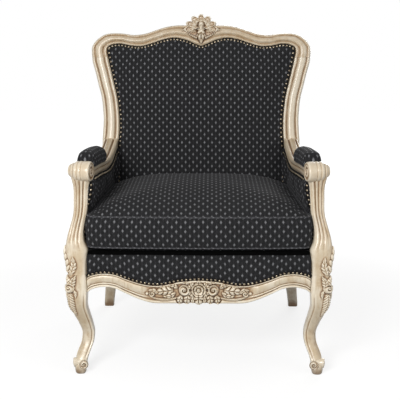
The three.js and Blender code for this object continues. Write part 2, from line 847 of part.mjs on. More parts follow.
// The plain rounded section under the moulding: each point of the moulding, moved onto a rounded square.
const PLAIN_POWER = 5;
const plainSection = FRAME_SECTION_SHARES.map((moulded) => {
  const [c, s] = moulded.map((share) => 2 * share - 1);
  const reach = (Math.abs(c) ** PLAIN_POWER + Math.abs(s) ** PLAIN_POWER) ** (-1 / PLAIN_POWER);
  return [(1 + c * reach) / 2, (1 + s * reach) / 2];
});

// How far the moulding has grown out of the plain section: it starts at the arm.
function mouldingAt(up) {
  return THREE.MathUtils.smoothstep(up, ARM_REAR_UP - ARM_THICKNESS, ARM_REAR_UP + ARM_THICKNESS);
}

function stileRing(up) {
  const { outer, inner } = stileEdges(up);
  const blend = mouldingAt(up);
  return FRAME_SECTION_SHARES.map((moulded, k) => {
    const share = moulded.map((value, axis) => mix(plainSection[k][axis], value, blend));
    return sectionPoint(outer, inner, up, share, 0);
  });
}

function rearLegRing(share, section, grow) {
  const [splay, sweep, width] = rearLegAt(share);
  const { outer, inner } = stileEdges(STILE_FOOT_UP);
  const half = (width * REAR_LEG_WIDTH) / 2 + grow;
  const top = backPoint((outer + inner) / 2, STILE_FOOT_UP, -FRAME_THICKNESS / 2);
  return section.map(([across, forward]) =>
    point(
      top.x - splay * REAR_LEG_SPLAY + (2 * across - 1) * half,
      top.y + sweep * REAR_LEG_SWEEP - (2 * forward - 1) * half,
      share * (RAIL_TOP - REAR_LEG_WIDTH),
    ),
  );
}

const stileUps = steps(STILE_STEPS).map((share) => mix(STILE_FOOT_UP, CREST_JOINT - JOINT_GAP, share));

function rearPostShape() {
  const leg = steps(REAR_LEG_STEPS).map((share) => rearLegRing(share, plainSection, 0));
  return skin([...leg, ...stileUps.map(stileRing)]);
}

// What a neighbour must leave free round the rear post: its square outline, and the joint gap.
const SQUARE_SHARES = [
  [0, 0],
  [0, 1],
  [1, 1],
  [1, 0],
];
function rearPostEnvelope() {
  const leg = steps(REAR_LEG_STEPS).map((share) => rearLegRing(share, SQUARE_SHARES, JOINT_GAP));
  const stile = stileUps.map((up) => {
    const { outer, inner } = stileEdges(up);
    return SQUARE_SHARES.map((share) => sectionPoint(outer, inner, up, share, JOINT_GAP));
  });
  return skin([...leg, ...stile]);
}
const rearPostSpace = rearPostEnvelope();

function rearPost() {
  const tenons = [
    sideRailRearTenon(JOINT_GAP),
    backRailTenon(JOINT_GAP),
    stayRailTenon(JOINT_GAP),
    armRearTenon(JOINT_GAP),
    crestTenon(JOINT_GAP),
    screwHole(false),
  ];
  return cut(rearPostShape(), ...tenons);
}

// Crest rail

const crestAt = reader(CREST_SHARES);
const CREST_STEPS = 16;

function crestEdges(share) {
  const [outerX, outerUp, innerX, innerUp] = crestAt(share);
  return {
    outer: [-outerX * FRAME_HALF_WIDTH, outerUp * FRAME_TOP],
    inner: [-innerX * FRAME_HALF_WIDTH, innerUp * FRAME_TOP],
  };
}

function crestRing(share, side) {
  const { outer, inner } = crestEdges(share);
  return FRAME_SECTION_SHARES.map(([across, forward]) =>
    backPoint(
      side * mix(outer[0], inner[0], across),
      mix(outer[1], inner[1], across),
      -FRAME_THICKNESS * (1 - forward),
    ),
  );
}

// The crest's stations run from the left joint over the middle to the right joint.
function crestRings() {
  const left = steps(CREST_STEPS).map((share) => crestRing(share, 1));
  const right = steps(CREST_STEPS)
    .slice(0, -1)
    .map((share) => crestRing(share, -1))
    .reverse();
  return [...left, ...right];
}

const SHELL_LOBES = 5;
const LOBE_WIDTH = SHELL_WIDTH / (SHELL_LOBES + 1);

// The carved shell: a fan of lobes round a bead, over a husk that runs down to the inner edge.
function crestShell() {
  const heart = FRAME_TOP - SHELL_RISE * 0.5;
  const lobes = Array.from({ length: SHELL_LOBES }, (_, i) => {
    const turn = ((i - (SHELL_LOBES - 1) / 2) / (SHELL_LOBES - 1)) * Math.PI;
    const length = SHELL_RISE * (0.62 + 0.12 * Math.cos(turn));
    const ball = lump([0, 0, 0], [LOBE_WIDTH * 0.62, LOBE_WIDTH * 0.7, length / 2]);
    const lean = new THREE.Matrix4().makeRotationX(-RAKE).multiply(
      new THREE.Matrix4().makeRotationY(turn),
    );
    const reach = SHELL_RISE * (0.72 + 0.25 * Math.abs(Math.sin(turn)));
    const middle = backPoint(Math.sin(turn) * reach, heart + Math.cos(turn) * reach, 0);
    return placed(ball, lean.setPosition(middle));
  });
  const innerEdge = crestEdges(1).inner[1];
  const husk = backPoint(0, mix(innerEdge, heart, 0.52), 0);
  const tilt = new THREE.Matrix4().makeRotationX(-RAKE);
  const huskBall = lump([0, 0, 0], [LOBE_WIDTH * 0.8, LOBE_WIDTH * 0.55, (heart - innerEdge) * 0.46]);
  const bead = backPoint(0, heart, LOBE_WIDTH * 0.2);
  const fan = backPoint(0, heart, -LOBE_WIDTH * 0.4);
  const fanBall = lump([0, 0, 0], [SHELL_WIDTH * 0.36, LOBE_WIDTH * 0.6, SHELL_RISE * 0.75], 6, 12);
  return [
    ...lobes,
    placed(fanBall, tilt.clone().setPosition(fan)),
    placed(huskBall, tilt.clone().setPosition(husk)),
    lump(bead.toArray(), [LOBE_WIDTH * 0.45, LOBE_WIDTH * 0.5, LOBE_WIDTH * 0.45]),
  ];
}

// A tenon stands up out of each stile's joint into the crest. It is drawn with the crest.
function crestTenon(grow) {
  const { outer, inner } = stileEdges(CREST_JOINT);
  const half = TENON_THICKNESS / 2 + grow;
  const middle = (outer + inner) / 2;
  const corners = [
    [-half, -half],
    [half, -half],
    [half, half],
    [-half, half],
  ];
  return skin(
    [CREST_JOINT - TENON_LENGTH - grow, CREST_JOINT + TENON_LENGTH].map((up) =>
      corners.map(([across, out]) => backPoint(middle + across, up, out - FRAME_THICKNESS / 2)),
    ),
  );
}

function crestRail() {
  const tenon = crestTenon(0);
  return join(skin(crestRings()), ...crestShell(), tenon, mirroredX(tenon));
}

// Front rail

const frontRailAt = reader(FRONT_RAIL_SHARES);
const FRONT_RAIL_HALF = LEG_INNER_X - JOINT_GAP;
const frontRailPlaces = steps(22).map((share) => mix(-FRONT_RAIL_HALF, FRONT_RAIL_HALF, share));

function frontRailEdges(x) {
  const [upper, lower] = frontRailAt(Math.abs(x) / FRONT_RAIL_HALF);
  return {
    top: FRONT_SHOW_TOP - upper * FRONT_SHOW_DEPTH,
    bottom: FRONT_SHOW_TOP - lower * FRONT_SHOW_DEPTH,
    face: FRONT_FACE_D + FRONT_BOW * (x / FRONT_RAIL_HALF) ** 2,
  };
}

function frontRailRing(x, grow) {
  const { top, bottom, face } = frontRailEdges(x);
  const show = RAIL_SECTION_SHARES.map(([up, back]) =>
    point(x, face + back * RAIL_RELIEF - grow, mix(bottom - grow, top + grow, up)),
  );
  return [
    ...show,
    point(x, face + REBATE - grow, top + grow),
    point(x, face + REBATE - grow, RAIL_TOP + grow),
    point(x, FRONT_RAIL_INNER_D + grow, RAIL_TOP + grow),
    point(x, FRONT_RAIL_INNER_D + grow, Math.max(bottom, RAIL_INNER_BOTTOM) - grow),
  ];
}

function frontRailShape(grow) {
  return skin(
    frontRailPlaces.map((x) => frontRailRing(x, grow)),
    flatCap,
  );
}

const ROSETTE_RADIUS = 21;
const ROSETTE_RISE = 9;
const LEAF_LENGTH = 34;
const PETALS = 5;

// The carved rosette and the leaves that run out from it on both sides. They are sunk into the moulding,
// so that no gap is left behind them.
function railCarving() {
  const { top, bottom, face } = frontRailEdges(0);
  const middleZ = (top + bottom) / 2;
  const petals = Array.from({ length: PETALS }, (_, i) => {
    const turn = (i / PETALS + 0.25) * 2 * Math.PI;
    const reach = ROSETTE_RADIUS * 0.62;
    return lump(
      [Math.cos(turn) * reach, face + ROSETTE_RISE * 0.2, middleZ + Math.sin(turn) * reach],
      [ROSETTE_RADIUS * 0.45, ROSETTE_RISE, ROSETTE_RADIUS * 0.45],
      4,
      6,
    );
  });
  const button = lump([0, face, middleZ], [ROSETTE_RADIUS * 0.4, ROSETTE_RISE, ROSETTE_RADIUS * 0.4]);
  const leaves = [-1, 1].flatMap((side) =>
    [
      [1.25, 0.05, 0.5],
      [2.2, -0.35, 0.42],
      [3.15, -0.1, 0.34],
    ].map(([out, drop, size]) => {
      const x = side * (ROSETTE_RADIUS * 0.6 + out * LEAF_LENGTH * 0.72);
      const at = frontRailEdges(x);
      const z = (at.top + at.bottom) / 2 + drop * ROSETTE_RADIUS;
      const reach = LEAF_LENGTH * size;
      return lump([x, at.face + ROSETTE_RISE * 0.3, z], [reach, ROSETTE_RISE, reach * 0.6], 4, 6);
    }),
  );
  const tip = ROSETTE_RADIUS * 0.6;
  const pendant = lump([0, face + ROSETTE_RISE, bottom], [tip, ROSETTE_RISE, tip]);
  return [...petals, button, ...leaves, pendant];
}

function frontRail() {
  const body = cut(join(frontRailShape(0), ...railCarving()), ...bothSides(postSpace));
  return join(body, ...bothSides(frontRailTenon(0)));
}

// Side rail

const SIDE_RAIL_OUTER_FRONT = LEG_X + LEG_WIDTH / 2 - SIDE_RAIL_INSET;
const SIDE_RAIL_FRONT_X = SIDE_RAIL_OUTER_FRONT - SIDE_RAIL_THICKNESS / 2;
const SIDE_RAIL_FRONT_D = LEG_INNER_D + JOINT_GAP;
const REAR_POST_EDGES = stileEdges(STILE_FOOT_UP);
const SIDE_RAIL_OUTER_REAR = -REAR_POST_EDGES.outer + REBATE / 2;
const SIDE_RAIL_REAR_X = SIDE_RAIL_OUTER_REAR - SIDE_RAIL_THICKNESS / 2;
const SIDE_RAIL_REAR_D = faceAtHeight(RAIL_TOP);
const SIDE_RAIL_STEPS = 8;
const sideRailAt = reader(SIDE_RAIL_SHARES);

// Outer line of the side rail in plan, without its bow.
const sideOuterX = (d) =>
  -mix(
    SIDE_RAIL_OUTER_FRONT,
    SIDE_RAIL_OUTER_REAR,
    (d - SIDE_RAIL_FRONT_D) / (SIDE_RAIL_REAR_D - SIDE_RAIL_FRONT_D),
  );
const sideInnerX = (d) => sideOuterX(d) + SIDE_RAIL_THICKNESS;

function sideRailShape() {
  const length = SIDE_RAIL_REAR_D + OVERRUN - SIDE_RAIL_FRONT_D;
  return skin(
    steps(SIDE_RAIL_STEPS).map((share) => {
      const [upper, lower, bow] = sideRailAt(share);
      const d = SIDE_RAIL_FRONT_D + share * length;
      const face = sideOuterX(d) - bow * SIDE_BOW;
      const top = SIDE_SHOW_TOP - upper * SIDE_SHOW_DEPTH;
      const bottom = SIDE_SHOW_TOP - lower * SIDE_SHOW_DEPTH;
      const show = RAIL_SECTION_SHARES.map(([up, back]) =>
        point(face + back * RAIL_RELIEF, d, mix(bottom, top, up)),
      );
      return [
        ...show,
        point(sideOuterX(d) + REBATE, d, top),
        point(sideOuterX(d) + REBATE, d, RAIL_TOP),
        point(sideInnerX(d), d, RAIL_TOP),
        point(sideInnerX(d), d, RAIL_INNER_BOTTOM),
      ];
    }),
    flatCap,
  );
}

function sideRail() {
  const body = cut(sideRailShape(), postSpace, rearPostSpace);
  return join(body, sideRailFrontTenon(0), sideRailRearTenon(0));
}

function sideRailRearTenon(grow) {
  const halfWidth = TENON_THICKNESS / 2 + grow;
  const halfHeight = TENON_HEIGHT / 4 + grow;
  return boxBetween(
    [-SIDE_RAIL_REAR_X - halfWidth, SIDE_RAIL_REAR_D - TENON_LENGTH, TENON_MIDDLE - halfHeight],
    [-SIDE_RAIL_REAR_X + halfWidth, SIDE_RAIL_REAR_D + TENON_LENGTH + grow, TENON_MIDDLE + halfHeight],
  );
}

// Back rail and stay rail

const REAR_POST_INNER_X = -REAR_POST_EDGES.inner;
const OUTSIDE_BACK_FRONT = -FRAME_THICKNESS + OUTSIDE_BACK_THICKNESS;
const BACK_RAIL_REAR = backPoint(0, STILE_FOOT_UP, OUTSIDE_BACK_FRONT).y - JOINT_GAP;
const BACK_RAIL_D = BACK_RAIL_REAR - BACK_RAIL_THICKNESS / 2;
const BACK_RAIL_BOTTOM = RAIL_INNER_BOTTOM + DUST_COVER_THICKNESS + JOINT_GAP;

function backRail() {
  const half = BACK_RAIL_THICKNESS / 2;
  const reach = REAR_POST_INNER_X + OVERRUN;
  const bar = boxBetween(
    [-reach, BACK_RAIL_D - half, BACK_RAIL_BOTTOM],
    [reach, BACK_RAIL_D + half, RAIL_TOP],
  );
  const body = cut(bar, rearPostSpace, mirroredX(rearPostSpace));
  const tenon = backRailTenon(0);
  return join(body, tenon, mirroredX(tenon));
}

function backRailTenon(grow) {
  const z = (RAIL_TOP + BACK_RAIL_BOTTOM) / 2;
  return boxBetween(
    [
      -REAR_POST_INNER_X - TENON_LENGTH - grow,
      BACK_RAIL_D - TENON_THICKNESS / 2 - grow,
      z - TENON_HEIGHT / 2 - grow,
    ],
    [
      -REAR_POST_INNER_X + TENON_LENGTH * 2,
      BACK_RAIL_D + TENON_THICKNESS / 2 + grow,
      z + TENON_HEIGHT / 2 + grow,
    ],
  );
}

// The layers inside the back frame, from the stuffing to the rear. Each leaves a gap to the next.
const HESSIAN_FRONT = -PAD_BACK - JOINT_GAP;
const HESSIAN_BACK = HESSIAN_FRONT - BACK_CLOTH_THICKNESS;
const BACK_WEB_FRONT = HESSIAN_BACK - JOINT_GAP;
const BACK_WEB_BACK = BACK_WEB_FRONT - WEB_THICKNESS;
const STAY_RAIL_FRONT = BACK_WEB_BACK - JOINT_GAP;
const STAY_RAIL_BACK = OUTSIDE_BACK_FRONT + JOINT_GAP;
const STAY_RAIL_BOTTOM_UP = STILE_FOOT_UP + STAY_RAIL_HEIGHT * 0.4;
const STAY_RAIL_TOP_UP = STAY_RAIL_BOTTOM_UP + STAY_RAIL_HEIGHT;

// A bar in the raked plane between two heights and two depths, reaching both ways from the middle.
function rakedBar(reach, fromUp, toUp, fromOut, toOut) {
  const corners = [
    [fromUp, fromOut],
    [toUp, fromOut],
    [toUp, toOut],
    [fromUp, toOut],
  ];
  return skin(reach.map((x) => corners.map(([up, out]) => backPoint(x, up, out))));
}

function stayRail() {
  const reach = REAR_POST_INNER_X + OVERRUN;
  const bar = rakedBar(
    [-reach, reach],
    STAY_RAIL_BOTTOM_UP,
    STAY_RAIL_TOP_UP,
    STAY_RAIL_BACK,
    STAY_RAIL_FRONT,
  );
  const body = cut(bar, rearPostSpace, mirroredX(rearPostSpace));
  const tenon = stayRailTenon(0);
  return join(body, tenon, mirroredX(tenon));
}

function stayRailTenon(grow) {
  const inset = (STAY_RAIL_FRONT - STAY_RAIL_BACK) / 4;
  const shoulder = STAY_RAIL_HEIGHT / 5;
  return rakedBar(
    [-REAR_POST_INNER_X - TENON_LENGTH - grow, -REAR_POST_INNER_X + TENON_LENGTH * 2],
    STAY_RAIL_BOTTOM_UP + shoulder - grow,
    STAY_RAIL_TOP_UP - shoulder + grow,
    STAY_RAIL_BACK + inset - grow,
    STAY_RAIL_FRONT - inset + grow,
  );
}

// Corner blocks, glued and screwed into the seat frame's corners

function cornerBlock(atFront) {
  const along = atFront ? 1 : -1;
  const d = atFront
    ? FRONT_RAIL_INNER_D + JOINT_GAP
    : BACK_RAIL_D - BACK_RAIL_THICKNESS / 2 - JOINT_GAP;
  const reach = d + along * BLOCK_LEG;
  const gap = JOINT_GAP;
  const outline = [
    [sideInnerX(d) + gap, d],
    [sideInnerX(d) + BLOCK_LEG, d],
    [sideInnerX(reach) + gap, reach],
  ];
  const block = slab(outline, BLOCK_BOTTOM, BLOCK_BOTTOM + BLOCK_HEIGHT);
  return cut(block, atFront ? join(legSpace, postSpace) : rearPostSpace, screwHole(atFront));
}

// The screw lies level, square to the block's long face, and ends in the corner. Its hole is the same
// shape, grown, and runs on out of the block's face.
function screwAt(atFront, grow, runOut) {
  const along = atFront ? 1 : -1;
  const d = atFront ? FRONT_RAIL_INNER_D : BACK_RAIL_D - BACK_RAIL_THICKNESS / 2;
  const corner = point(sideInnerX(d), d, (BLOCK_BOTTOM + LEG_TOP) / 2);
  const outward = point(1, along, 0).normalize();
  const face = corner.clone().addScaledVector(outward, (BLOCK_LEG * Math.SQRT2) / 2);
  const screw = turned(
    [
      [0, -SCREW_LENGTH - grow],
      [(SCREW_RADIUS + grow) / 2, -SCREW_LENGTH - grow],
      [SCREW_RADIUS + grow, -SCREW_LENGTH + SCREW_RADIUS * 2],
      [SCREW_RADIUS + grow, -SCREW_HEAD_RADIUS],
      [SCREW_HEAD_RADIUS + grow, -SCREW_RADIUS],
      [SCREW_HEAD_RADIUS + grow, runOut],
      [0, runOut],
    ],
    6,
  );
  const side = point(0, 0, 1);
  const basis = new THREE.Matrix4().makeBasis(side.clone().cross(outward), side, outward);
  return placed(screw, basis.setPosition(face));
}
const screwHole = (atFront) => screwAt(atFront, JOINT_GAP, OVERRUN);

// Seat webbing and springs

const OPENING_FRONT = FRONT_RAIL_INNER_D + JOINT_GAP;
const OPENING_REAR = BACK_RAIL_D - BACK_RAIL_THICKNESS / 2 - JOINT_GAP;
const OPENING_HALF = -Math.max(sideInnerX(OPENING_FRONT), sideInnerX(OPENING_REAR));
const WEB_Z = RAIL_INNER_BOTTOM + WEB_TAB / 3;
const WEB_WAVE = (WEB_THICKNESS + JOINT_GAP) / 2; // how far a strap weaves over and under
const webPlace = (index) => (index + 0.5) / WEB_COUNT - 0.5;

// A strap's centre line in its own run, s, and height: turned up at both ends, woven in between.
function strapLine(from, to, crossings, phase) {
  const inset = WEB_THICKNESS / 2;
  const start = from + inset;
  const end = to - inset;
  const line = [
    [start, WEB_TAB],
    [start, WEB_THICKNESS],
    [start + WEB_THICKNESS, 0],
  ];
  const flat = WEB_WIDTH / 2 + WEB_THICKNESS;
  crossings.forEach((s, i) => {
    const z = (i + phase) % 2 ? -WEB_WAVE : WEB_WAVE;
    line.push([s - flat, z], [s + flat, z]);
  });
  line.push([end - WEB_THICKNESS, 0], [end, WEB_THICKNESS], [end, WEB_TAB]);
  return line;
}

// The strap itself: its line thickened up and down, and carried across its width.
function strap(line, place) {
  const half = WEB_THICKNESS / 2;
  const rings = line.map(([s, z], i) => {
    const [s0, z0] = line[Math.max(i - 1, 0)];
    const [s1, z1] = line[Math.min(i + 1, line.length - 1)];
    const length = Math.hypot(s1 - s0, z1 - z0);
    const normal = [-(z1 - z0) / length, (s1 - s0) / length];
    const side = (sign) => [s + sign * half * normal[0], z + sign * half * normal[1]];
    const [above, below] = [side(1), side(-1)];
    return [
      place(above[0], -WEB_WIDTH / 2, above[1]),
      place(above[0], WEB_WIDTH / 2, above[1]),
      place(below[0], WEB_WIDTH / 2, below[1]),
      place(below[0], -WEB_WIDTH / 2, below[1]),
    ];
  });
  return skin(rings);
}

const lengthwiseX = (index) => 2 * webPlace(index) * (OPENING_HALF - WEB_WIDTH / 4);
const crosswiseD = (index) =>
  mix(OPENING_FRONT, OPENING_REAR, 0.5) +
  webPlace(index) * (OPENING_REAR - OPENING_FRONT - WEB_WIDTH / 2);
const eachStrap = Array.from({ length: WEB_COUNT }, (_, i) => i);

function lengthwiseStrap(index) {
  const line = strapLine(OPENING_FRONT, OPENING_REAR, eachStrap.map(crosswiseD), index);
  return strap(line, (s, across, z) => point(lengthwiseX(index) + across, s, WEB_Z + z));
}

function crosswiseStrap(index) {
  const d = crosswiseD(index);
  const edges = [d - WEB_WIDTH / 2, d + WEB_WIDTH / 2].map(sideInnerX);
  const reach = -Math.max(...edges) - JOINT_GAP;
  const line = strapLine(-reach, reach, eachStrap.map(lengthwiseX), index + 1);
  return strap(line, (s, across, z) => point(s, d + across, WEB_Z + z));
}

const SPRING_STEPS = 8; // for each turn
const SPRING_SIDES = 5;
const SPRING_BOTTOM = WEB_Z + WEB_WAVE + WEB_THICKNESS / 2 + JOINT_GAP + SPRING_WIRE;
const SPRING_TOP = RAIL_TOP - SPRING_WIRE;

// An hourglass spring: a wire wound in a helix whose radius shrinks to the waist. Its axis is upright
// through the origin here.
const springLine = steps(SPRING_TURNS * SPRING_STEPS).map((t) => {
  const turn = t * SPRING_TURNS * 2 * Math.PI;
  const radius = mix(SPRING_WAIST, SPRING_RADIUS, (2 * t - 1) ** 2);
  const rise = t - (SPRING_LEVEL_SHARE * Math.sin(2 * Math.PI * t)) / (2 * Math.PI);
  const height = mix(SPRING_BOTTOM, SPRING_TOP, rise);
  return point(radius * Math.cos(turn), radius * Math.sin(turn), height);
});

// The least air between two places of the wire that are half a turn or more apart.
const springGaps = springLine.flatMap((p, i) =>
  springLine.slice(i + SPRING_STEPS / 2).map((q) => p.distanceTo(q) - 2 * SPRING_WIRE),
);
console.log(`seat spring: least gap to itself ${Math.min(...springGaps).toFixed(2)} mm`);

function seatSpring(x, d) {
  const rings = springLine.map((middle) => {
    const outward = point(middle.x, middle.y, 0).normalize();
    return Array.from({ length: SPRING_SIDES }, (_, k) => {
      const turn = (k / SPRING_SIDES) * 2 * Math.PI;
      return point(x, d, SPRING_WIRE * Math.sin(turn))
        .add(middle)
        .addScaledVector(outward, SPRING_WIRE * Math.cos(turn));
    });
  });
  return skin(rings);
}

// Inside arms, outside arms and arm pads

const armShareAt = (d) => (d - ARM_FRONT_D) / (ARM_REAR_D - ARM_FRONT_D);
const ARM_SEAT_FRONT_X = LEG_X - POST_WIDTH / 2;
const ARM_SEAT_REAR_X = REAR_POST_INNER_X + ARM_SEAT_SET_OUT;
const armSeatX = (d) => mix(ARM_SEAT_FRONT_X, ARM_SEAT_REAR_X, armShareAt(d));

// The inside arm's inner face runs from the seat line up to the arm rail's inner edge.
function insideArmRing(d, grow) {
  const top = armTop(armShareAt(d));
  const bottomZ = COVER_TOP + JOINT_GAP - grow;
  const topZ = top.z - ARM_THICKNESS - JOINT_GAP + grow;
  const seatX = -armSeatX(d) + grow;
  const railX = top.x + ARM_WIDTH / 2 + grow;
  const inner = INSIDE_ARM_SHARES.map(([up, inwards]) =>
    point(mix(seatX, railX, inwards), d, mix(bottomZ, topZ, up)),
  );
  return [
    point(sideOuterX(d) + SIDE_RAIL_THICKNESS / 2 - grow, d, bottomZ),
    ...inner,
    point(top.x - ARM_WIDTH / 4 - grow, d, topZ),
  ];
}

const insideArmPlaces = armShares.map((share) => mix(ARM_FRONT_D, ARM_REAR_D, share));

const insideArmShape = (grow) => skin(insideArmPlaces.map((d) => insideArmRing(d, grow)));

const insideArmSpace = insideArmShape(JOINT_GAP);

function insideArm() {
  const backSpace = backPanel(STILE_FOOT_UP, -FRAME_THICKNESS, PAD_EDGE + PAD_BULGE, 0);
  return cut(insideArmShape(0), postSpace, rearPostSpace, backSpace);
}

// A thin panel from the side rail's rebate up to the arm rail.
function outsideArm() {
  const ring = (d) => {
    const top = armTop(armShareAt(d));
    const bottomX = sideOuterX(d) + REBATE - JOINT_GAP;
    const topX = top.x - ARM_WIDTH / 3;
    const topZ = top.z - ARM_THICKNESS - JOINT_GAP;
    const bottomZ = SIDE_SHOW_TOP + JOINT_GAP;
    return [
      point(bottomX, d, bottomZ),
      point(bottomX, d, RAIL_TOP),
      point(topX, d, topZ),
      point(topX - OUTSIDE_ARM_THICKNESS, d, topZ),
      point(bottomX - OUTSIDE_ARM_THICKNESS, d, RAIL_TOP),
      point(bottomX - OUTSIDE_ARM_THICKNESS, d, bottomZ),
    ];
  };
  const panel = skin(insideArmPlaces.map(ring), flatCap);
  return cut(panel, postSpace, rearPostSpace, legSpace);
}

const armPadEndAt = reader(ARM_PAD_END_SHARES);
const ARM_PAD_STEPS = 8;

// A padded roll on the arm rail, round at both ends.
function armPad() {
  const rings = steps(ARM_PAD_STEPS).map((share) => {
    const d = ARM_PAD_START + share * ARM_PAD_LENGTH;
    const [full] = armPadEndAt(Math.min(share, 1 - share));
    const seat = armTop(armShareAt(d));
    const left = ARM_PAD_SHARES.map(([across, up]) => [across, up]);
    const right = ARM_PAD_SHARES.slice(0, -1).map(([across, up]) => [-across, up]);
    return [...left, ...right.reverse()].map(([across, up]) =>
      point(
        seat.x + across * full * ARM_PAD_WIDTH,
        d,
        seat.z + up * full * ARM_PAD_CROWN,
      ),
    );
  });
  return cut(skin(rings), postSpace, skin(armRings(JOINT_GAP)));
}

// Front border: the covered band between the show wood and the cushion

const BORDER_REAR = FRONT_RAIL_INNER_D - COVER_LAP - JOINT_GAP;

function borderRing(x) {
  const { top, face } = frontRailEdges(x);
  const back = face + REBATE - JOINT_GAP;
  const bottomZ = top + JOINT_GAP;
  const seatZ = RAIL_TOP + JOINT_GAP;
  const edge = back - REBATE / 2;
  return [
    point(x, back, bottomZ),
    point(x, edge, bottomZ),
    point(x, edge - BORDER_STUFFING * 0.7, mix(bottomZ, DECK_TOP, 0.25)),
    point(x, edge - BORDER_STUFFING, mix(bottomZ, DECK_TOP, 0.5)),
    point(x, edge - BORDER_STUFFING * 0.8, mix(bottomZ, DECK_TOP, 0.75)),
    point(x, edge, mix(bottomZ, DECK_TOP, 0.93)),
    point(x, back, DECK_TOP),
    point(x, BORDER_REAR, DECK_TOP),
    point(x, BORDER_REAR, seatZ),
    point(x, back, seatZ),
  ];
}

function frontBorder() {
  return cut(skin(frontRailPlaces.map(borderRing), flatCap), ...bothSides(postSpace));
}

// Seat layers: spring cover, stuffing, deck and dust cover

// Plan of a layer between the side rails, from a front line to a rear line.
function layerPlan(front, rear, inset) {
  const left = [front, rear].map((d) => [sideOuterX(d) + inset, d]);
  const right = [...left].reverse().map(([x, d]) => [-x, d]);
  return [...left, ...right];
}

const LAYER_FRONT = BORDER_REAR + JOINT_GAP;
const LAYER_REAR = faceAtHeight(RAIL_TOP) + PAD_BACK * Math.cos(RAKE) - JOINT_GAP;

function seatLayer(bottom, top, rear, ...neighbours) {
  const layer = slab(layerPlan(LAYER_FRONT, rear, SIDE_RAIL_THICKNESS - COVER_LAP), bottom, top);
  return cut(layer, ...[postSpace, rearPostSpace, ...neighbours].flatMap(bothSides));
}

const springCover = () => seatLayer(SEAT_LAYER_BOTTOM, COVER_TOP, BACK_RAIL_D);
const seatStuffing = () => seatLayer(STUFFING_BOTTOM, STUFFING_TOP, LAYER_REAR, insideArmSpace);
const seatDeck = () => seatLayer(DECK_BOTTOM, DECK_TOP, LAYER_REAR, insideArmSpace);

// It closes the seat frame from below, inside the rails.
function dustCover() {
  const plan = layerPlan(FRONT_RAIL_INNER_D + JOINT_GAP, BACK_RAIL_D, SIDE_RAIL_THICKNESS + JOINT_GAP);
  const sheet = slab(plan, RAIL_INNER_BOTTOM, RAIL_INNER_BOTTOM + DUST_COVER_THICKNESS);
  return cut(sheet, ...[rearPostSpace, legSpace].flatMap(bothSides));
}

// Back panels: they all fill the back frame's opening

// The opening's outline in the raked plane, as [across, up], from the lower left over the crest.
function openingOutline(bottomUp, inset) {
  const ups = [bottomUp, ...stileUps.filter((up) => up > bottomUp)];
  const stile = ups.map((up) => [stileEdges(up).inner + inset, up]);
  const crest = steps(CREST_STEPS)
    .slice(1, -1)
    .map((share) => crestEdges(share).inner)
    .map(([across, up]) => [across + inset, up - inset]);
  const left = [...stile, ...crest];
  const right = [...left].reverse().map(([across, up]) => [-across, up]);
  return [...left, [0, crestEdges(1).inner[1] - inset], ...right];
}

function backPanel(bottomUp, rearOut, frontOut, inset = JOINT_GAP) {
  const outline = openingOutline(bottomUp, inset);
  return skin([rearOut, frontOut].map((out) => outline.map(([across, up]) => backPoint(across, up, out))));
}

const outsideBack = () => backPanel(STILE_FOOT_UP, -FRAME_THICKNESS, OUTSIDE_BACK_FRONT);

const backHessian = () => backPanel(STAY_RAIL_BOTTOM_UP, HESSIAN_BACK, HESSIAN_FRONT);

function backStrap(index) {
  const up = mix(STAY_RAIL_TOP_UP, CREST_JOINT, (index + 0.5) / BACK_WEB_COUNT);
  const reach = FRAME_HALF_WIDTH;
  const half = WEB_WIDTH / 2;
  const bar = rakedBar([-reach, reach], up - half, up + half, BACK_WEB_BACK, BACK_WEB_FRONT);
  return cut(bar, ...bothSides(rearPostSpace));
}

// The inside back swells out of the frame, more at the small of the back than at the top.
function insideBack() {
  const bottomUp = STAY_RAIL_BOTTOM_UP;
  const outline = openingOutline(bottomUp, JOINT_GAP);
  const middleUp = mix(bottomUp, FRAME_TOP, 0.45);
  const ring = (inward, outAt) =>
    outline.map(([across, up]) => {
      const there = mix(up, middleUp, inward);
      return backPoint(across * (1 - inward), there, outAt(there));
    });
  const fullness = (up) => mix(1, 0.72, THREE.MathUtils.smoothstep(up, middleUp, FRAME_TOP));
  const bulges = BACK_PAD_SHARES.map(([inward, bulge]) =>
    ring(inward, (up) => PAD_EDGE + bulge * PAD_BULGE * fullness(up)),
  );
  const body = skin([ring(0, () => -PAD_BACK), ring(0, () => PAD_EDGE / 2), ...bulges]);
  const underDeck = boxBetween(
    [-FRAME_HALF_WIDTH, 0, 0],
    [FRAME_HALF_WIDTH, PIVOT_D + FRAME_THICKNESS, DECK_TOP + JOINT_GAP],
  );
  return cut(body, underDeck, seatCushion(JOINT_GAP));
}

// Seat cushion. It fills the seat, from its front edge to the small of the inside back.

const CUSHION_HALF_WIDTH = ARM_SEAT_FRONT_X + CUSHION_EAR;
const CUSHION_REAR = faceAtHeight(DECK_TOP) - PAD_EDGE - PAD_BULGE / 2;
const CUSHION_DEPTH = CUSHION_REAR - CUSHION_FRONT;

// The cushion's outline where it is widest, as [x, d], all round from the front middle.
function cushionPlan() {
  const ear = CUSHION_EAR_SHARES.map(([across, back]) => [
    -across * CUSHION_HALF_WIDTH,
    mix(CUSHION_FRONT, ARM_FRONT_D, back),
  ]);
  const side = CUSHION_SIDE_SHARES.map(([across, back]) => {
    const d = mix(ARM_FRONT_D, CUSHION_REAR, back);
    return [-across * armSeatX(d), d];
  });
  const left = [...ear, ...side];
  const right = left
    .slice(1)
    .reverse()
    .map(([x, d]) => [-x, d]);
  return [...left, ...right];
}

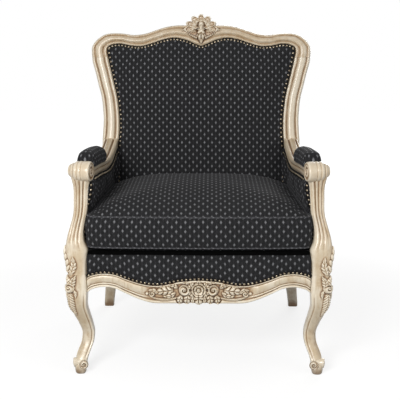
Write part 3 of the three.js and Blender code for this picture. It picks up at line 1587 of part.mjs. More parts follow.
function seatCushion(grow) {
  const middle = CUSHION_FRONT + CUSHION_DEPTH / 2;
  const rings = CUSHION_RISE_SHARES.map(([inward, pull, below, boxing, crown], i) => {
    const drawn = pull * CUSHION_PULL - grow;
    const scaleX = (1 - drawn / CUSHION_HALF_WIDTH) * (1 - inward);
    const scaleD = (1 - drawn / (CUSHION_DEPTH / 2)) * (1 - inward);
    const rise = below * CUSHION_SEAM_RISE + boxing * CUSHION_BOXING_HEIGHT + crown * CUSHION_CROWN;
    const z = DECK_TOP + JOINT_GAP + rise + (i === 0 ? -grow : grow);
    return cushionPlan().map(([x, d]) => point(x * scaleX, middle + (d - middle) * scaleD, z));
  });
  return skin(rings);
}

// The chair

const finishes = { paint, rawWood, cloth, hessian, wadding, lining, springSteel };
const chair = new THREE.Group();

function add(name, finish, solid) {
  const geometry = toGeometry(solid);
  geometry.computeVertexNormals();
  const mesh = new THREE.Mesh(geometry, finishes[finish]);
  mesh.name = name;
  chair.add(mesh);
  return mesh;
}

// A piece and its mirror image on the right.
function addPair(name, finish, solid) {
  const left = add(`${name}_left`, finish, solid);
  const right = left.clone();
  right.name = `${name}_right`;
  right.scale.x = -1;
  chair.add(right);
}

addPair("front_leg", "paint", frontLeg());
addPair("arm_post", "paint", armPost());
addPair("arm_rail", "paint", armRail());
addPair("rear_post", "paint", rearPost());
add("crest_rail", "paint", crestRail());
add("front_rail", "paint", frontRail());
addPair("side_rail", "paint", sideRail());
add("back_rail", "rawWood", backRail());
add("stay_rail", "rawWood", stayRail());
[true, false].forEach((atFront) => {
  const place = atFront ? "front" : "rear";
  addPair(`${place}_corner_block`, "rawWood", cornerBlock(atFront));
  addPair(`${place}_corner_screw`, "springSteel", screwAt(atFront, 0, 0));
});
eachStrap.forEach((i) => {
  add(`seat_webbing_lengthwise_${i + 1}`, "hessian", lengthwiseStrap(i));
  add(`seat_webbing_crosswise_${i + 1}`, "hessian", crosswiseStrap(i));
});
// A spring stands on every second crossing of the straps, counted from the corners.
const crossing = (index) => (index * (WEB_COUNT - 1)) / (SPRING_ROWS - 1);
for (let row = 0; row < SPRING_ROWS; row += 1) {
  for (let column = 0; column < SPRING_ROWS; column += 1) {
    const spring = seatSpring(lengthwiseX(crossing(column)), crosswiseD(crossing(row)));
    add(`seat_spring_${row * SPRING_ROWS + column + 1}`, "springSteel", spring);
  }
}
add("spring_cover", "hessian", springCover());
add("seat_stuffing", "wadding", seatStuffing());
add("seat_deck", "lining", seatDeck());
add("dust_cover", "lining", dustCover());
add("front_border", "cloth", frontBorder());
addPair("inside_arm", "cloth", insideArm());
addPair("outside_arm", "cloth", outsideArm());
addPair("arm_pad", "cloth", armPad());
add("inside_back", "cloth", insideBack());
add("back_hessian", "hessian", backHessian());
for (let i = 0; i < BACK_WEB_COUNT; i += 1) add(`back_webbing_${i + 1}`, "hessian", backStrap(i));
add("outside_back", "cloth", outsideBack());
add("seat_cushion", "cloth", seatCushion(0));

// The origin lies on the floor under the middle of the chair.
const bounds = new THREE.Box3().setFromObject(chair);
const centre = bounds.getCenter(new THREE.Vector3());
chair.position.set(-centre.x, -centre.y, -bounds.min.z);

export default chair;
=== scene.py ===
# %% [markdown]
# # A carved bergere chair, dressed in Blender
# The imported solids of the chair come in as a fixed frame. Each step below either puts a finer surface in the
# place of plain solids or gives a solid its finish. Shapes are worked out in millimetres, as places (x, d,
# z): x from the chair's middle, d back from its front and z up from the floor.

# %% Load the frame
import math

import bpy
import numpy as np
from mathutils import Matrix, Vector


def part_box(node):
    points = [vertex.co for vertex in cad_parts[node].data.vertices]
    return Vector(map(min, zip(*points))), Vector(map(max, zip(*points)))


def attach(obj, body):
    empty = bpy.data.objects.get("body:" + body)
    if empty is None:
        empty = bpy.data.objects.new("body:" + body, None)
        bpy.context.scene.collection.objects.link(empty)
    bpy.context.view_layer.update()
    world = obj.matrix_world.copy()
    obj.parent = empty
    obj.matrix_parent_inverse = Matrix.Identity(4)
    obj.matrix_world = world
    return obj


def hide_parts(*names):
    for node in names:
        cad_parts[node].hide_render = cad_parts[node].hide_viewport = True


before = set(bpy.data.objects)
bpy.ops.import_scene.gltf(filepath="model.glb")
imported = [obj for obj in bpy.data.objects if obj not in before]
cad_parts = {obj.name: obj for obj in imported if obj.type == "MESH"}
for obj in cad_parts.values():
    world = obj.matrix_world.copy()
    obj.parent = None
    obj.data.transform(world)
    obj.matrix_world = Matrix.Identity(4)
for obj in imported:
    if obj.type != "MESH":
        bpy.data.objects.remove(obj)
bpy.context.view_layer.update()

MM = 0.001
# What is left between two pieces that meet, in mm.
GAP = 0.3
CUSHION_FRONT = 11.0
MIDDLE_D = CUSHION_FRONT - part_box("seat_cushion")[0].y / MM


def place(*coordinates):
    """Points from two or three coordinates, each an array or one number."""
    return np.stack(np.broadcast_arrays(*coordinates), axis=-1).astype(float)


def mix(a, b, share):
    """a where the share is 0, b where it is 1, and straight between."""
    return a + (b - a) * share


def ease(value, low, high):
    """0 below low, 1 above high, and between them the S curve 3s^2 - 2s^3."""
    s = np.clip((value - low) / (high - low), 0, 1)
    return s * s * (3 - 2 * s)


def bump(distance, width):
    """A soft hill: e to the minus of the squared share of its width."""
    return np.exp(-((distance / width) ** 2))


def smooth(rows):
    """A curve through a table's rows. Between two rows it is a cubic, and its slope at a row is that of the
    chord between the rows on both sides."""
    table = np.array(rows, float)
    places, values = table[:, 0], table[:, 1:]
    number = np.arange(len(table))
    ahead = np.minimum(number + 1, number[-1])
    behind = np.maximum(number - 1, 0)
    slopes = (values[ahead] - values[behind]) / (places[ahead] - places[behind])[:, None]

    def read(share):
        share = np.asarray(share, float)
        end = np.clip(np.searchsorted(places, share), 1, number[-1])
        start = end - 1
        span = (places[end] - places[start])[..., None]
        s = np.clip((share[..., None] - places[start][..., None]) / span, 0, 1)
        found = (
            values[start] * (2 * s**3 - 3 * s**2 + 1)
            + values[end] * (3 * s**2 - 2 * s**3)
            + slopes[start] * span * (s**3 - 2 * s**2 + s)
            + slopes[end] * span * (s**3 - s**2)
        )
        return np.moveaxis(found, -1, 0)

    return read


def steps_down(count, low=0.0, high=1.0):
    """Equal steps down a grid's rows."""
    return np.linspace(low, high, count)[:, None]


def steps_across(count, low=0.0, high=1.0):
    """Equal steps along a grid's columns."""
    return np.linspace(low, high, count)[None]


def steps_through(knots, counts):
    """Steps through several knots, with a count of equal steps between each two of them."""
    parts = [np.linspace(*ends, count, endpoint=False) for *ends, count in zip(knots, knots[1:], counts)]
    return np.concatenate([*parts, knots[-1:]])


def crowded(count, crowd):
    """Shares from 0 to 1 whose steps shrink towards both ends: t - crowd sin(2 pi t) / (2 pi)."""
    t = np.linspace(0, 1, count)
    return t - crowd * np.sin(2 * math.pi * t) / (2 * math.pi)


def way_along(curve):
    """The way along a curve, from its start to each of its points."""
    return np.concatenate([[0], np.cumsum(np.linalg.norm(np.diff(curve, axis=0), axis=1))])


def read_at(curve, way, at):
    """The curve's points at given places of the way along it."""
    return place(*(np.interp(at, way, column) for column in curve.T))


def even(curve, count):
    """The same curve cut into equal steps."""
    way = way_along(curve)
    return read_at(curve, way, np.linspace(0, way[-1], count))


print("middle of the chair's depth, mm:", round(MIDDLE_D, 2))

# %% [markdown]
# ## From grids to meshes
# Every new piece is a grid of points: a section carried along a path, or a sheet over two directions. It
# could also be modelled by hand from a cube. A formula was chosen because a carved moulding has to keep
# exactly to the chair's lines. A skin is four arrays: the points, the corners of all faces in a row, how many
# corners each face has, and where each corner lies on the cloth.


# %% Skins
def sheet(grid, wrap=False, spots=None):
    """Four-sided faces between the points of a grid. A wrapped grid's last column joins its first."""
    rows, columns = grid.shape[:2]
    across = columns if wrap else columns - 1
    r, c = np.mgrid[0 : rows - 1, 0:across]
    after = (c + 1) % columns
    faces = [r * columns + c, r * columns + after, (r + 1) * columns + after, (r + 1) * columns + c]
    corners = np.stack(faces, axis=-1).reshape(-1)
    if spots is None:
        spots = np.zeros((rows, across + 1, 2))
    around = [spots[:-1, :-1], spots[:-1, 1:], spots[1:, 1:], spots[1:, :-1]]
    return grid.reshape(-1, 3), corners, np.full(r.size, 4), np.stack(around, axis=2).reshape(-1, 2)


def tube(grid, spots=None):
    """A wrapped grid with a flat face at each end."""
    points, corners, sizes, uv = sheet(grid, True, spots)
    rows, columns = grid.shape[:2]
    ring = np.arange(columns)
    corners = np.concatenate([corners, ring[::-1], ring + (rows - 1) * columns])
    sizes = np.concatenate([sizes, [columns, columns]])
    ends = np.zeros((2 * columns, 2))
    if spots is not None:
        ends = np.concatenate([spots[0, :columns][::-1], spots[-1, :columns]])
    return points, corners, sizes, np.concatenate([uv, ends])


def plate(front, back, spots=None):
    """A closed plate between a front grid and a back grid of the same shape. Each end is a strip of small
    faces, because a wavy end can't be one flat face."""
    rows, columns = front.shape[:2]
    grid = np.concatenate([front, back[:, ::-1]], axis=1)
    if spots is None:
        spots = np.zeros((rows, columns, 2))
    spots = np.concatenate([spots, spots[:, ::-1], spots[:, :1]], axis=1)
    points, corners, sizes, uv = sheet(grid, True, spots)
    c = np.arange(columns - 1)
    strip = np.stack([c, c + 1, 2 * columns - 2 - c, 2 * columns - 1 - c], axis=-1)
    first = strip[:, ::-1].reshape(-1)
    corners = np.concatenate([corners, first, strip.reshape(-1) + (rows - 1) * 2 * columns])
    sizes = np.concatenate([sizes, np.full(2 * len(c), 4)])
    return points, corners, sizes, np.concatenate([uv, spots[0][first], spots[-1][strip.reshape(-1)]])


def mirrored(skin):
    """The same skin on the chair's other side."""
    points, corners, sizes, uv = skin
    return points * (-1, 1, 1), corners, sizes, uv


def in_pairs(corners, sizes):
    """For each corner: the next and the last corner round its face, and the face's first."""
    first = np.repeat(np.cumsum(sizes) - sizes, sizes)
    last = first + np.repeat(sizes, sizes) - 1
    here = np.arange(len(corners))
    after = np.where(here == last, first, here + 1)
    before = np.where(here == first, last, here - 1)
    return corners[after], corners[before], corners[first], first + last - here


def turned_over(skin):
    """The skin with every face turned the other way."""
    points, corners, sizes, uv = skin
    swapped = in_pairs(corners, sizes)[3]
    return points, corners[swapped], sizes, uv[swapped]


def facing_out(skin):
    """The skin with its faces turned outwards: the volume under its faces comes out positive."""
    points, corners, sizes, _ = skin
    after, _, first, _ = in_pairs(corners, sizes)
    volume = (points[first] * np.cross(points[corners], points[after])).sum()
    return turned_over(skin) if volume < 0 else skin


def stacked(skins):
    """Several skins as one."""
    points, corners, sizes, uv = zip(*skins)
    starts = np.cumsum([0] + [len(part) for part in points[:-1]])
    corners = [part + start for part, start in zip(corners, starts)]
    return tuple(np.concatenate(parts) for parts in (points, corners, sizes, uv))


def welded(skins):
    """Open skins put together as one closed skin: points that lie in the same place become one."""
    points, corners, sizes, uv = stacked(skins)
    _, first, same = np.unique(np.round(points, 3), axis=0, return_index=True, return_inverse=True)
    return points[first], same.reshape(-1)[corners], sizes, uv


def normals_of(points, corners, sizes):
    """Each point's normal: the sum of its faces' corner products, made one long."""
    after, before, _, _ = in_pairs(corners, sizes)
    product = np.cross(points[after] - points[corners], points[before] - points[corners])
    total = place(*(np.bincount(corners, column, len(points)) for column in product.T))
    return total / np.maximum(np.linalg.norm(total, axis=1), 1e-9)[:, None]


def hollows(points, corners, sizes, passes):
    """How deep each point lies in a hollow, in mm: the points are averaged with their neighbours again and
    again, and the way from a point to its average is measured along its normal. The second answer comes
    after three times as many passes, so it tells of broader hollows."""
    after, _, _, _ = in_pairs(corners, sizes)
    ends = np.concatenate([corners, after])
    others = np.concatenate([after, corners])
    count = np.bincount(ends, minlength=len(points))
    normals = normals_of(points, corners, sizes)
    level, found = points, []
    for number in range(1, 3 * passes + 1):
        level = place(*(np.bincount(ends, column[others], len(points)) / count for column in level.T))
        if number in (passes, 3 * passes):
            found.append(((level - points) * normals).sum(axis=1))
    return found


SHARP_ANGLE = math.radians(48)


def make_mesh(name, skin, passes=0):
    """A Blender mesh, in metres, of one skin. Faces that meet at less than the sharp angle look smooth."""
    points, corners, sizes, uv = skin
    mesh = bpy.data.meshes.new(name)
    mesh.vertices.add(len(points))
    mesh.vertices.foreach_set("co", ((points - (0, MIDDLE_D, 0)) * MM).ravel())
    mesh.loops.add(len(corners))
    mesh.polygons.add(len(sizes))
    mesh.polygons.foreach_set("loop_start", np.cumsum(sizes) - sizes)
    mesh.polygons.foreach_set("vertices", corners)
    mesh.update(calc_edges=True)
    mesh.uv_layers.new(name="cloth").data.foreach_set("uv", (uv * MM).ravel())
    if passes:
        for kind, depth in zip(("hollow", "recess"), hollows(points, corners, sizes, passes)):
            mesh.attributes.new(kind, "FLOAT", "POINT").data.foreach_set("value", depth)
    mesh.shade_smooth()
    mesh.set_sharp_from_angle(angle=SHARP_ANGLE)
    return mesh


def in_scene(name, data):
    """A new object in the scene."""
    obj = bpy.data.objects.new(name, data)
    bpy.context.scene.collection.objects.link(obj)
    return obj


def add_piece(name, skins, finish, replaces, body="frame", passes=0):
    """A piece in the scene: it rides on its body and stands for the solids that it replaces."""
    obj = in_scene(name, make_mesh(name, stacked([facing_out(skin) for skin in skins]), passes))
    obj.data.materials.append(finish)
    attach(obj, body)
    if replaces:
        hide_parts(*replaces)
    print(f"{name}: {len(obj.data.polygons)} faces")
    return obj


def add_pair(name, skins, finish, passes=0):
    """The piece on the chair's left and its mirror image on the right."""
    sides = {"left": skins, "right": [mirrored(skin) for skin in skins]}
    return [
        add_piece(f"{name}_dressed_{side}", shapes, finish, [f"{name}_{side}"], passes=passes)
        for side, shapes in sides.items()
    ]


# %% [markdown]
# ## Camera, floor and light
# The photograph is a studio picture from about chest height, on white. The camera stands where its view lines
# up with the seat, the arms and the feet. A large soft lamp at the front left and an even surround give the
# plain light. The floor keeps the chair's soft shadow. It could be a white backdrop with strong lamps, but
# then the paint would burn out, so the white comes from the floor's and the surround's own colour.

# %% Camera
CAMERA_PLACE, CAMERA_PITCH, CAMERA_YAW = (0.035, -3.2007, 1.12), math.radians(-11.84), math.radians(0.63)
FOCAL_LENGTH, SENSOR_WIDTH = 92.7, 36
lens = bpy.data.cameras.new("camera")
lens.lens, lens.sensor_width = FOCAL_LENGTH, SENSOR_WIDTH
camera = in_scene("camera", lens)
camera.location = CAMERA_PLACE
camera.rotation_euler = (math.pi / 2 + CAMERA_PITCH, 0, CAMERA_YAW)
bpy.context.scene.camera = camera
bpy.context.scene.view_settings.view_transform = "Standard"


# %% A small helper for node materials
def tint(red, green, blue):
    """A colour as seen on a screen, 0 to 255, in Blender's linear numbers."""
    share = np.array([red, green, blue]) / 255
    linear = np.where(share <= 0.04045, share / 12.92, ((share + 0.055) / 1.055) ** 2.4)
    return (*linear.tolist(), 1.0)


class Nodes:
    """A node tree whose nodes are added one at a time. Each method gives back an output to go on from."""

    def __init__(self, tree):
        self.tree = tree

    def put(self, socket, value):
        if isinstance(value, bpy.types.NodeSocket):
            self.tree.links.new(value, socket)
        elif value is not None:
            socket.default_value = value

    def node(self, kind, values, output=0, **settings):
        made = self.tree.nodes.new("ShaderNode" + kind)
        for key, value in settings.items():
            setattr(made, key, value)
        for key, value in values.items():
            self.put(made.inputs[key], value)
        return made.outputs[output]

    def math(self, operation, *values):
        return self.node("Math", dict(enumerate(values)), operation=operation)

    def times(self, a, b):
        return self.math("MULTIPLY", a, b)

    def plus(self, a, b):
        return self.math("ADD", a, b)

    def times_plus(self, a, b, c):
        return self.math("MULTIPLY_ADD", a, b, c)

    def direct_rays(self):
        """1 for the camera's rays and for those that a shiny or clear surface sends on."""
        kinds = ("Camera", "Glossy", "Transmission")
        seen, glossy, through = (self.node("LightPath", {}, output=f"Is {kind} Ray") for kind in kinds)
        return self.math("MAXIMUM", self.math("MAXIMUM", seen, glossy), through)


class Finish(Nodes):
    """A material, with the nodes that its look is made of."""

    def __init__(self, name, **uniform):
        self.material = bpy.data.materials.new(name)
        self.material.use_nodes = True
        super().__init__(self.material.node_tree)
        self.shader = self.tree.nodes["Principled BSDF"]
        self.set(**uniform)

    def set(self, **sockets):
        for socket, value in sockets.items():
            self.put(self.shader.inputs[socket.replace("_", " ")], value)

    def object_place(self):
        return self.node("TexCoord", {}, output="Object")

    def cloth_place(self):
        return self.node("UVMap", {}, uv_map="cloth")

    def coordinates(self, vector):
        return self.node("SeparateXYZ", {0: vector}, output=slice(None))

    def attribute(self, name):
        return self.node("Attribute", {}, output="Fac", attribute_name=name)

    def noise(self, vector, scale, detail=3.0, roughness=0.5):
        """A noise of one scale, or of one scale for each way."""
        if isinstance(scale, tuple):
            vector, scale = self.node("Mapping", {"Vector": vector, "Scale": scale}), 1.0
        values = {"Vector": vector, "Scale": scale, "Detail": detail, "Roughness": roughness}
        return self.node("TexNoise", values)

    def ramp(self, value, low, high, start=0.0, end=1.0):
        values = {"Value": value, "From Min": low, "From Max": high, "To Min": start, "To Max": end}
        return self.node("MapRange", values, interpolation_type="SMOOTHSTEP")

    def blend(self, share, a, b):
        return self.node("Mix", {0: share, 6: a, 7: b}, output=2, data_type="RGBA")

    def finished(self, colour, rough, height, strength, distance):
        """The material, with its colour, its roughness and a relief of some strength and depth in metres."""
        relief = self.node("Bump", {"Height": height, "Strength": strength, "Distance": distance})
        self.set(Base_Color=colour, Roughness=rough, Normal=relief)
        return self.material


# %% Floor, surround and lamps
FLOOR_HALF, FLOOR_GREY, WHITE = 6.0, (0.36, 0.36, 0.36, 1), (1, 1, 1, 1)
SURROUND_STRENGTH = 0.3
# Where the floor begins and ends to grow white, in metres from the chair, and how white it is before.
FLOOR_NEAR, FLOOR_FAR, FLOOR_SHADE = 0.7, 2.8, 0.75
# Place, aim, size and power.
LAMPS = {
    "key_lamp": ((-1.0, -2.9, 1.7), (0, 0, 0.4), 1.2, 72),
    "fill_lamp": ((2.2, -2.0, 1.3), (0, 0, 0.5), 1.8, 12),
    "rear_lamp": ((0.9, 2.9, 1.5), (0, 0, 0.5), 1.8, 34),
}
floor_mesh = bpy.data.meshes.new("floor")
floor_corners = [(FLOOR_HALF * x, FLOOR_HALF * y, 0) for x, y in ((-1, -1), (1, -1), (1, 1), (-1, 1))]
floor_mesh.from_pydata(floor_corners, [], [(0, 1, 2, 3)])
in_scene("floor", floor_mesh)

studio = Finish("studio_floor", Roughness=1.0, Specular_IOR_Level=0.0, Base_Color=FLOOR_GREY)
outwards = studio.node("VectorMath", {0: studio.object_place()}, output="Value", operation="LENGTH")
paler = studio.ramp(outwards, FLOOR_NEAR, FLOOR_FAR, FLOOR_SHADE, 1.0)
studio.set(Emission_Color=WHITE, Emission_Strength=studio.times(studio.direct_rays(), paler))
floor_mesh.materials.append(studio.material)

world = bpy.data.worlds.new("surround")
bpy.context.scene.world = world
world.use_nodes = True
world.node_tree.nodes.clear()
air = Nodes(world.node_tree)
surround = air.node("Background", {"Color": WHITE, "Strength": SURROUND_STRENGTH})
backdrop = air.node("Background", {"Color": WHITE})
either = air.node("MixShader", {0: air.direct_rays(), 1: surround, 2: backdrop})
air.put(air.tree.nodes.new("ShaderNodeOutputWorld").inputs[0], either)

for lamp_name, (lamp_place, aim, size, power) in LAMPS.items():
    light = bpy.data.lights.new(lamp_name, "AREA")
    light.size, light.energy = size, power
    lamp = in_scene(lamp_name, light)
    lamp.location = lamp_place
    toward = np.array(aim) - lamp_place
    flat = math.hypot(toward[0], toward[1])
    lamp.rotation_euler = (math.atan2(flat, -toward[2]), 0, math.atan2(-toward[0], toward[1]))

# %% [markdown]
# ## The painted finish
# Chairs like this are painted cream over a warm ground, then rubbed with a brown glaze that stays in the
# hollows and is wiped off the ridges. A photograph of such paint could be laid on, but the glaze follows
# this chair's own carving. So each wooden mesh carries its depth of hollow, and the colour is mixed by it.
# The colour holds painted light too: painted shade in the broader hollows and on the upper parts, a painted
# highlight on the ridges along with their wear, and a painted contact shadow along with scuffs at the feet.


# %% Painted wood
def painted_wood():
    """Cream paint, browner in hollows and paler on ridges by wear and a painted highlight, with painted
    shade in broad hollows and on the upper parts, scuffs and a painted contact shadow at the feet, and a fine
    brushed and speckled surface.
    """
    finish = Finish("antiqued_cream_paint", Coat_Weight=0.3, Coat_Roughness=0.22, IOR=1.5)
    spot = finish.object_place()
    cloudy = finish.noise(spot, 13.0, 4.0)
    rubbed = finish.noise(spot, 62.0, 5.0, 0.65)
    brushed = finish.noise(spot, (420, 420, 90), 3.0)
    depth = finish.attribute("hollow")
    uneven = finish.times_plus(rubbed, 0.5, finish.plus(depth, -0.25))
    # Brown patches from a noise, plus painted shade in the broad hollows, read from the recess depth.
    broad = finish.times_plus(cloudy, 1.2, finish.plus(finish.attribute("recess"), -0.6))
    broad = finish.ramp(broad, -0.05, 1.3)
    soft = finish.ramp(uneven, -0.02, 0.55)
    deep = finish.ramp(uneven, 0.35, 1.3)
    # Paler on ridges: wear of the paint together with a painted highlight.
    worn_and_highlit = finish.ramp(depth, -0.08, -0.7)
    cream = finish.blend(finish.ramp(cloudy, 0.36, 0.66), tint(227, 215, 193), tint(206, 187, 156))
    cream = finish.blend(finish.ramp(rubbed, 0.5, 0.72, 0.0, 0.5), cream, tint(184, 157, 121))
    parts = finish.coordinates(spot)
    streaks = finish.noise(spot, (90, 90, 14), 4.0, 0.6)
    cream = finish.blend(finish.ramp(streaks, 0.48, 0.68, 0.0, 0.55), cream, tint(188, 162, 124))
    # Painted shade: the paint turns blotchily browner from 0.36 m up to 0.6 m and stays so above.
    painted_shade_above_seat = finish.times(finish.ramp(parts[2], 0.36, 0.6), finish.ramp(rubbed, 0.3, 0.6, 0.3, 0.6))
    cream = finish.blend(painted_shade_above_seat, cream, tint(186, 160, 124))
    # Mixes in the brown patches and the painted shade of the broad hollows.
    cream = finish.blend(finish.times(broad, 0.7), cream, tint(152, 118, 80))
    # Painted shade: the broadest, deepest hollows darken towards a dark brown.
    painted_shade_wide = finish.ramp(finish.attribute("recess"), 0.9, 3.0)
    cream = finish.blend(finish.times(painted_shade_wide, 0.7), cream, tint(112, 82, 52))
    # Ridges turn pale ivory: wear and a painted highlight.
    cream = finish.blend(finish.times(worn_and_highlit, 0.6), cream, tint(241, 231, 211))
    colour = finish.blend(finish.times(soft, 0.8), cream, tint(142, 108, 72))
    colour = finish.blend(finish.times(deep, 0.9), colour, tint(78, 55, 36))
    speck = finish.node("TexVoronoi", {"Vector": spot, "Scale": 210.0}, feature="F1")
    speck = finish.times(finish.ramp(speck, 0.13, 0.07), finish.ramp(cloudy, 0.5, 0.62))
    colour = finish.blend(finish.times(speck, 0.6), colour, tint(104, 76, 50))
    # Browner in the lowest 3 cm above the floor: scuffs and a painted contact shadow.
    scuffs_and_contact_shadow = finish.times(finish.ramp(parts[2], 0.03, 0.0), finish.ramp(rubbed, 0.3, 0.6, 0.5, 0.9))
    colour = finish.blend(scuffs_and_contact_shadow, colour, tint(120, 92, 62))
    rough = finish.times_plus(rubbed, 0.22, finish.times_plus(soft, 0.22, 0.2))
    height = finish.plus(finish.times(brushed, 0.4), rubbed)
    return finish.finished(colour, rough, height, 0.22, 0.0006)


PAINT = painted_wood()

# %% [markdown]
# ## Front legs
# A cabriole leg is sawn to its S curve from one square of wood, rounded with a spokeshave and carved last. It
# stands on a toe that rolls up into a scroll. A subdivided cage would give the curve too. Rings carried down
# the leg were chosen, because the carving can then be a height over the ring's angle and the leg's height.

# %% Front leg sizes and curve
LEG_X, LEG_D, LEG_TOP, LEG_WIDTH, LEG_SWING = 351.0, 46.0, 300.0, 58.0, 26.0
FRONT_SHOW_TOP, FRONT_SHOW_DEPTH = 305.0, 87.0
# Share of the height, swing inwards, swing backwards, width.
leg_at = smooth([
    (0, 0.15, -0.5, 0.46), (0.015, 0.15, -0.5, 0.54), (0.06, 0.15, -0.46, 0.59), (0.1, 0.2, -0.34, 0.6),
    (0.16, 0.34, 0, 0.61), (0.22, 0.6, 0.42, 0.61), (0.28, 0.87, 0.78, 0.6), (0.34, 0.98, 0.96, 0.6),
    (0.4, 0.97, 0.97, 0.62), (0.49, 0.7, 0.7, 0.71), (0.58, 0.37, 0.3, 0.8), (0.68, 0.07, -0.12, 0.88),
    (0.77, 0, -0.25, 0.97), (0.86, 0, -0.14, 1), (1, 0, 0, 0.94),
])


def squarish(turn, power):
    """How far a squarish section reaches at an angle: 1 over the power mean of its cosine and sine."""
    return (np.abs(np.cos(turn)) ** power + np.abs(np.sin(turn)) ** power) ** (-1 / power)


def full_turn(count):
    """Equal steps round a full turn, in radians."""
    return np.linspace(0, 2 * math.pi, count, endpoint=False)


def crowded_turn(count, middle, crowd=0.6):
    """A full turn whose steps are shorter round a middle direction: t - crowd sin(t - middle)."""
    turn = full_turn(count)
    return turn - crowd * np.sin(turn - middle)


def turn_between(turn, middle):
    """The signed angle from a middle direction, in radians."""
    return (turn - middle + math.pi) % (2 * math.pi) - math.pi


# %% [markdown]
# ## The carver's shapes
# Rococo carving repeats a few shapes: leaves with a scalloped edge and sunk veins, C scrolls that end in an
# eye, beads, and flowers. Each could be modelled once and copied, but then it would lie on the moulding
# instead of growing out of it. Here each is a height over a flat place (a, b) in mm, and a piece takes the
# greatest height at each of its points.


# %% Leaf, scroll, bead and flower
def leaf_height(a, b, start, end, width, bend=0.0, lobes=4, high=4.0):
    """A leaf from its stalk to its tip. Along it u runs from 0 to 1, and across it q is the share of the way
    from its bent midrib to its edge. Leaflets slant forwards: their number is a phase in u less a part of q.
    The edge is a sine half-wave drawn in between the leaflets, or plain if there are none. The body is a half
    ellipse across, and the midrib and the grooves between the leaflets are sunk."""
    along = np.array(end, float) - start
    length = np.hypot(*along)
    u = ((a - start[0]) * along[0] + (b - start[1]) * along[1]) / length**2
    v = (-(a - start[0]) * along[1] + (b - start[1]) * along[0]) / length
    inside = np.clip(u, 0, 1)
    v = v - bend * np.sin(math.pi * inside)
    plain = 0.5 * width * np.sin(math.pi * np.clip(inside, 0.02, 1) ** 0.75) ** 0.8 + 1e-3
    slant = inside - 0.16 * np.clip(np.abs(v) / plain, 0, 1)
    leaflet = np.abs(np.sin(math.pi * lobes * slant)) if lobes else np.ones_like(slant)
    half = plain * (0.68 + 0.32 * leaflet**0.6)
    q = np.abs(v) / half
    body = np.sqrt(np.clip(1 - q**2, 0, 1)) * np.clip(u / 0.06, 0, 1) * np.clip((1 - u) / 0.05, 0, 1)
    vein = 0.45 * bump(v, 0.04 * width + 0.35)
    grooves = 0.5 * (1 - leaflet) ** 2 * np.clip(3 * q, 0, 1)
    swell = 0.75 + 0.25 * np.sin(math.pi * inside)
    return np.where((u > 0) & (u < 1), high * body * swell * (1 - vein) * (1 - grooves), 0.0)


def scroll_height(a, b, middle, radius, turns=1.5, hand=1, start=0.0, high=5.0):
    """A volute: a ridge that winds in on a spiral, each turn nearer by the same share, round a domed eye."""
    x, y = a - middle[0], (b - middle[1]) * hand
    reach = np.hypot(x, y) + 1e-6
    eye = 0.24 * radius
    tighter = math.log(radius / eye) / (2 * math.pi * turns)
    phase = (np.log(radius / reach) / tighter - np.arctan2(y, x) + start) / (2 * math.pi)
    ridge = 0.5 + 0.5 * np.cos(2 * math.pi * phase)
    body = (0.35 + 0.65 * ridge**0.8) * ease(reach, radius, 0.9 * radius)
    dome = 1.15 * np.sqrt(np.clip(1 - (reach / eye) ** 2, 0, 1))
    return high * np.where(reach < eye, np.maximum(dome, 0.3), body)


def bead_height(a, b, middle, radius, high=None):
    """A half ball."""
    reach = np.hypot(a - middle[0], b - middle[1]) / radius
    return (radius if high is None else high) * np.sqrt(np.clip(1 - reach**2, 0, 1))


# Inner and outer radius as shares, number of petals and their shift, height at the inner and the outer rim.
ROSE_RINGS = [(0.68, 1.0, 8, 0.0, 0.3, 0.62), (0.33, 0.66, 5, 0.3, 0.5, 0.88)]


def rose_height(a, b, middle, radius, high=8.0):
    """A rose: eight outer petals, five inner petals and a wound bud, in three rings with a crease between
    them. In a ring the height rises from its inner to its outer rim, and dips a little between petals, where
    the rim draws in too."""
    x, y = a - middle[0], b - middle[1]
    reach, turn = np.hypot(x, y) / radius, np.arctan2(y, x)
    best = np.zeros_like(reach)
    for inner, outer, count, shift, low, lift in ROSE_RINGS:
        side = np.abs(2 * ((turn * count / (2 * math.pi) + shift) % 1) - 1)
        rim = outer * (1 - 0.1 * side**3)
        share = (reach - inner) / (rim - inner)
        ring = mix(low, lift, np.clip(share, 0, 1) ** 0.8) * (1 - 0.4 * side**6)
        ring = ring * ease(share, 1.04, 0.9) * ease(share, -0.02, 0.12)
        best = np.maximum(best, ring)
    bud = reach / 0.3
    wound = 0.82 + 0.18 * np.cos(turn - 16 * reach)
    return high * np.maximum(best, np.where(bud < 1, wound * np.sqrt(np.clip(1 - 0.8 * bud**2, 0, 1)), 0))


def trail_height(a, b, start, end, width, high=3.0):
    """A rounded ridge along a straight line, with round ends."""
    along = np.array(end, float) - start
    u = np.clip(((a - start[0]) * along[0] + (b - start[1]) * along[1]) / (along @ along), 0, 1)
    reach = np.hypot(a - start[0] - u * along[0], b - start[1] - u * along[1]) / (0.5 * width)
    return high * np.sqrt(np.clip(1 - reach**2, 0, 1))


def highest(a, b, shapes):
    """The greatest height of several shapes, each listed as its function and that function's values."""
    return np.maximum.reduce([shape(a, b, *values) for shape, *values in shapes])


def rolled(middle, axis, up, profile, sides=72, carving=None):
    """A turned skin: each profile point is a radius and a place along the axis, carried round it. A carving
    raises the flat ends along the axis by a height over the end's own plane."""
    axis, up = np.array(axis, float), np.array(up, float)
    side = np.cross(axis, up)
    radius, along = profile[:, :1], profile[:, 1:]
    turn = full_turn(sides)[None]
    a, b = radius * np.cos(turn), radius * np.sin(turn)
    if carving is not None:
        along = along + np.sign(along) * carving(a * np.sign(along), b, radius)
    along = np.broadcast_to(along, a.shape)
    grid = middle + a[..., None] * side + b[..., None] * up + along[..., None] * axis
    return tube(grid)


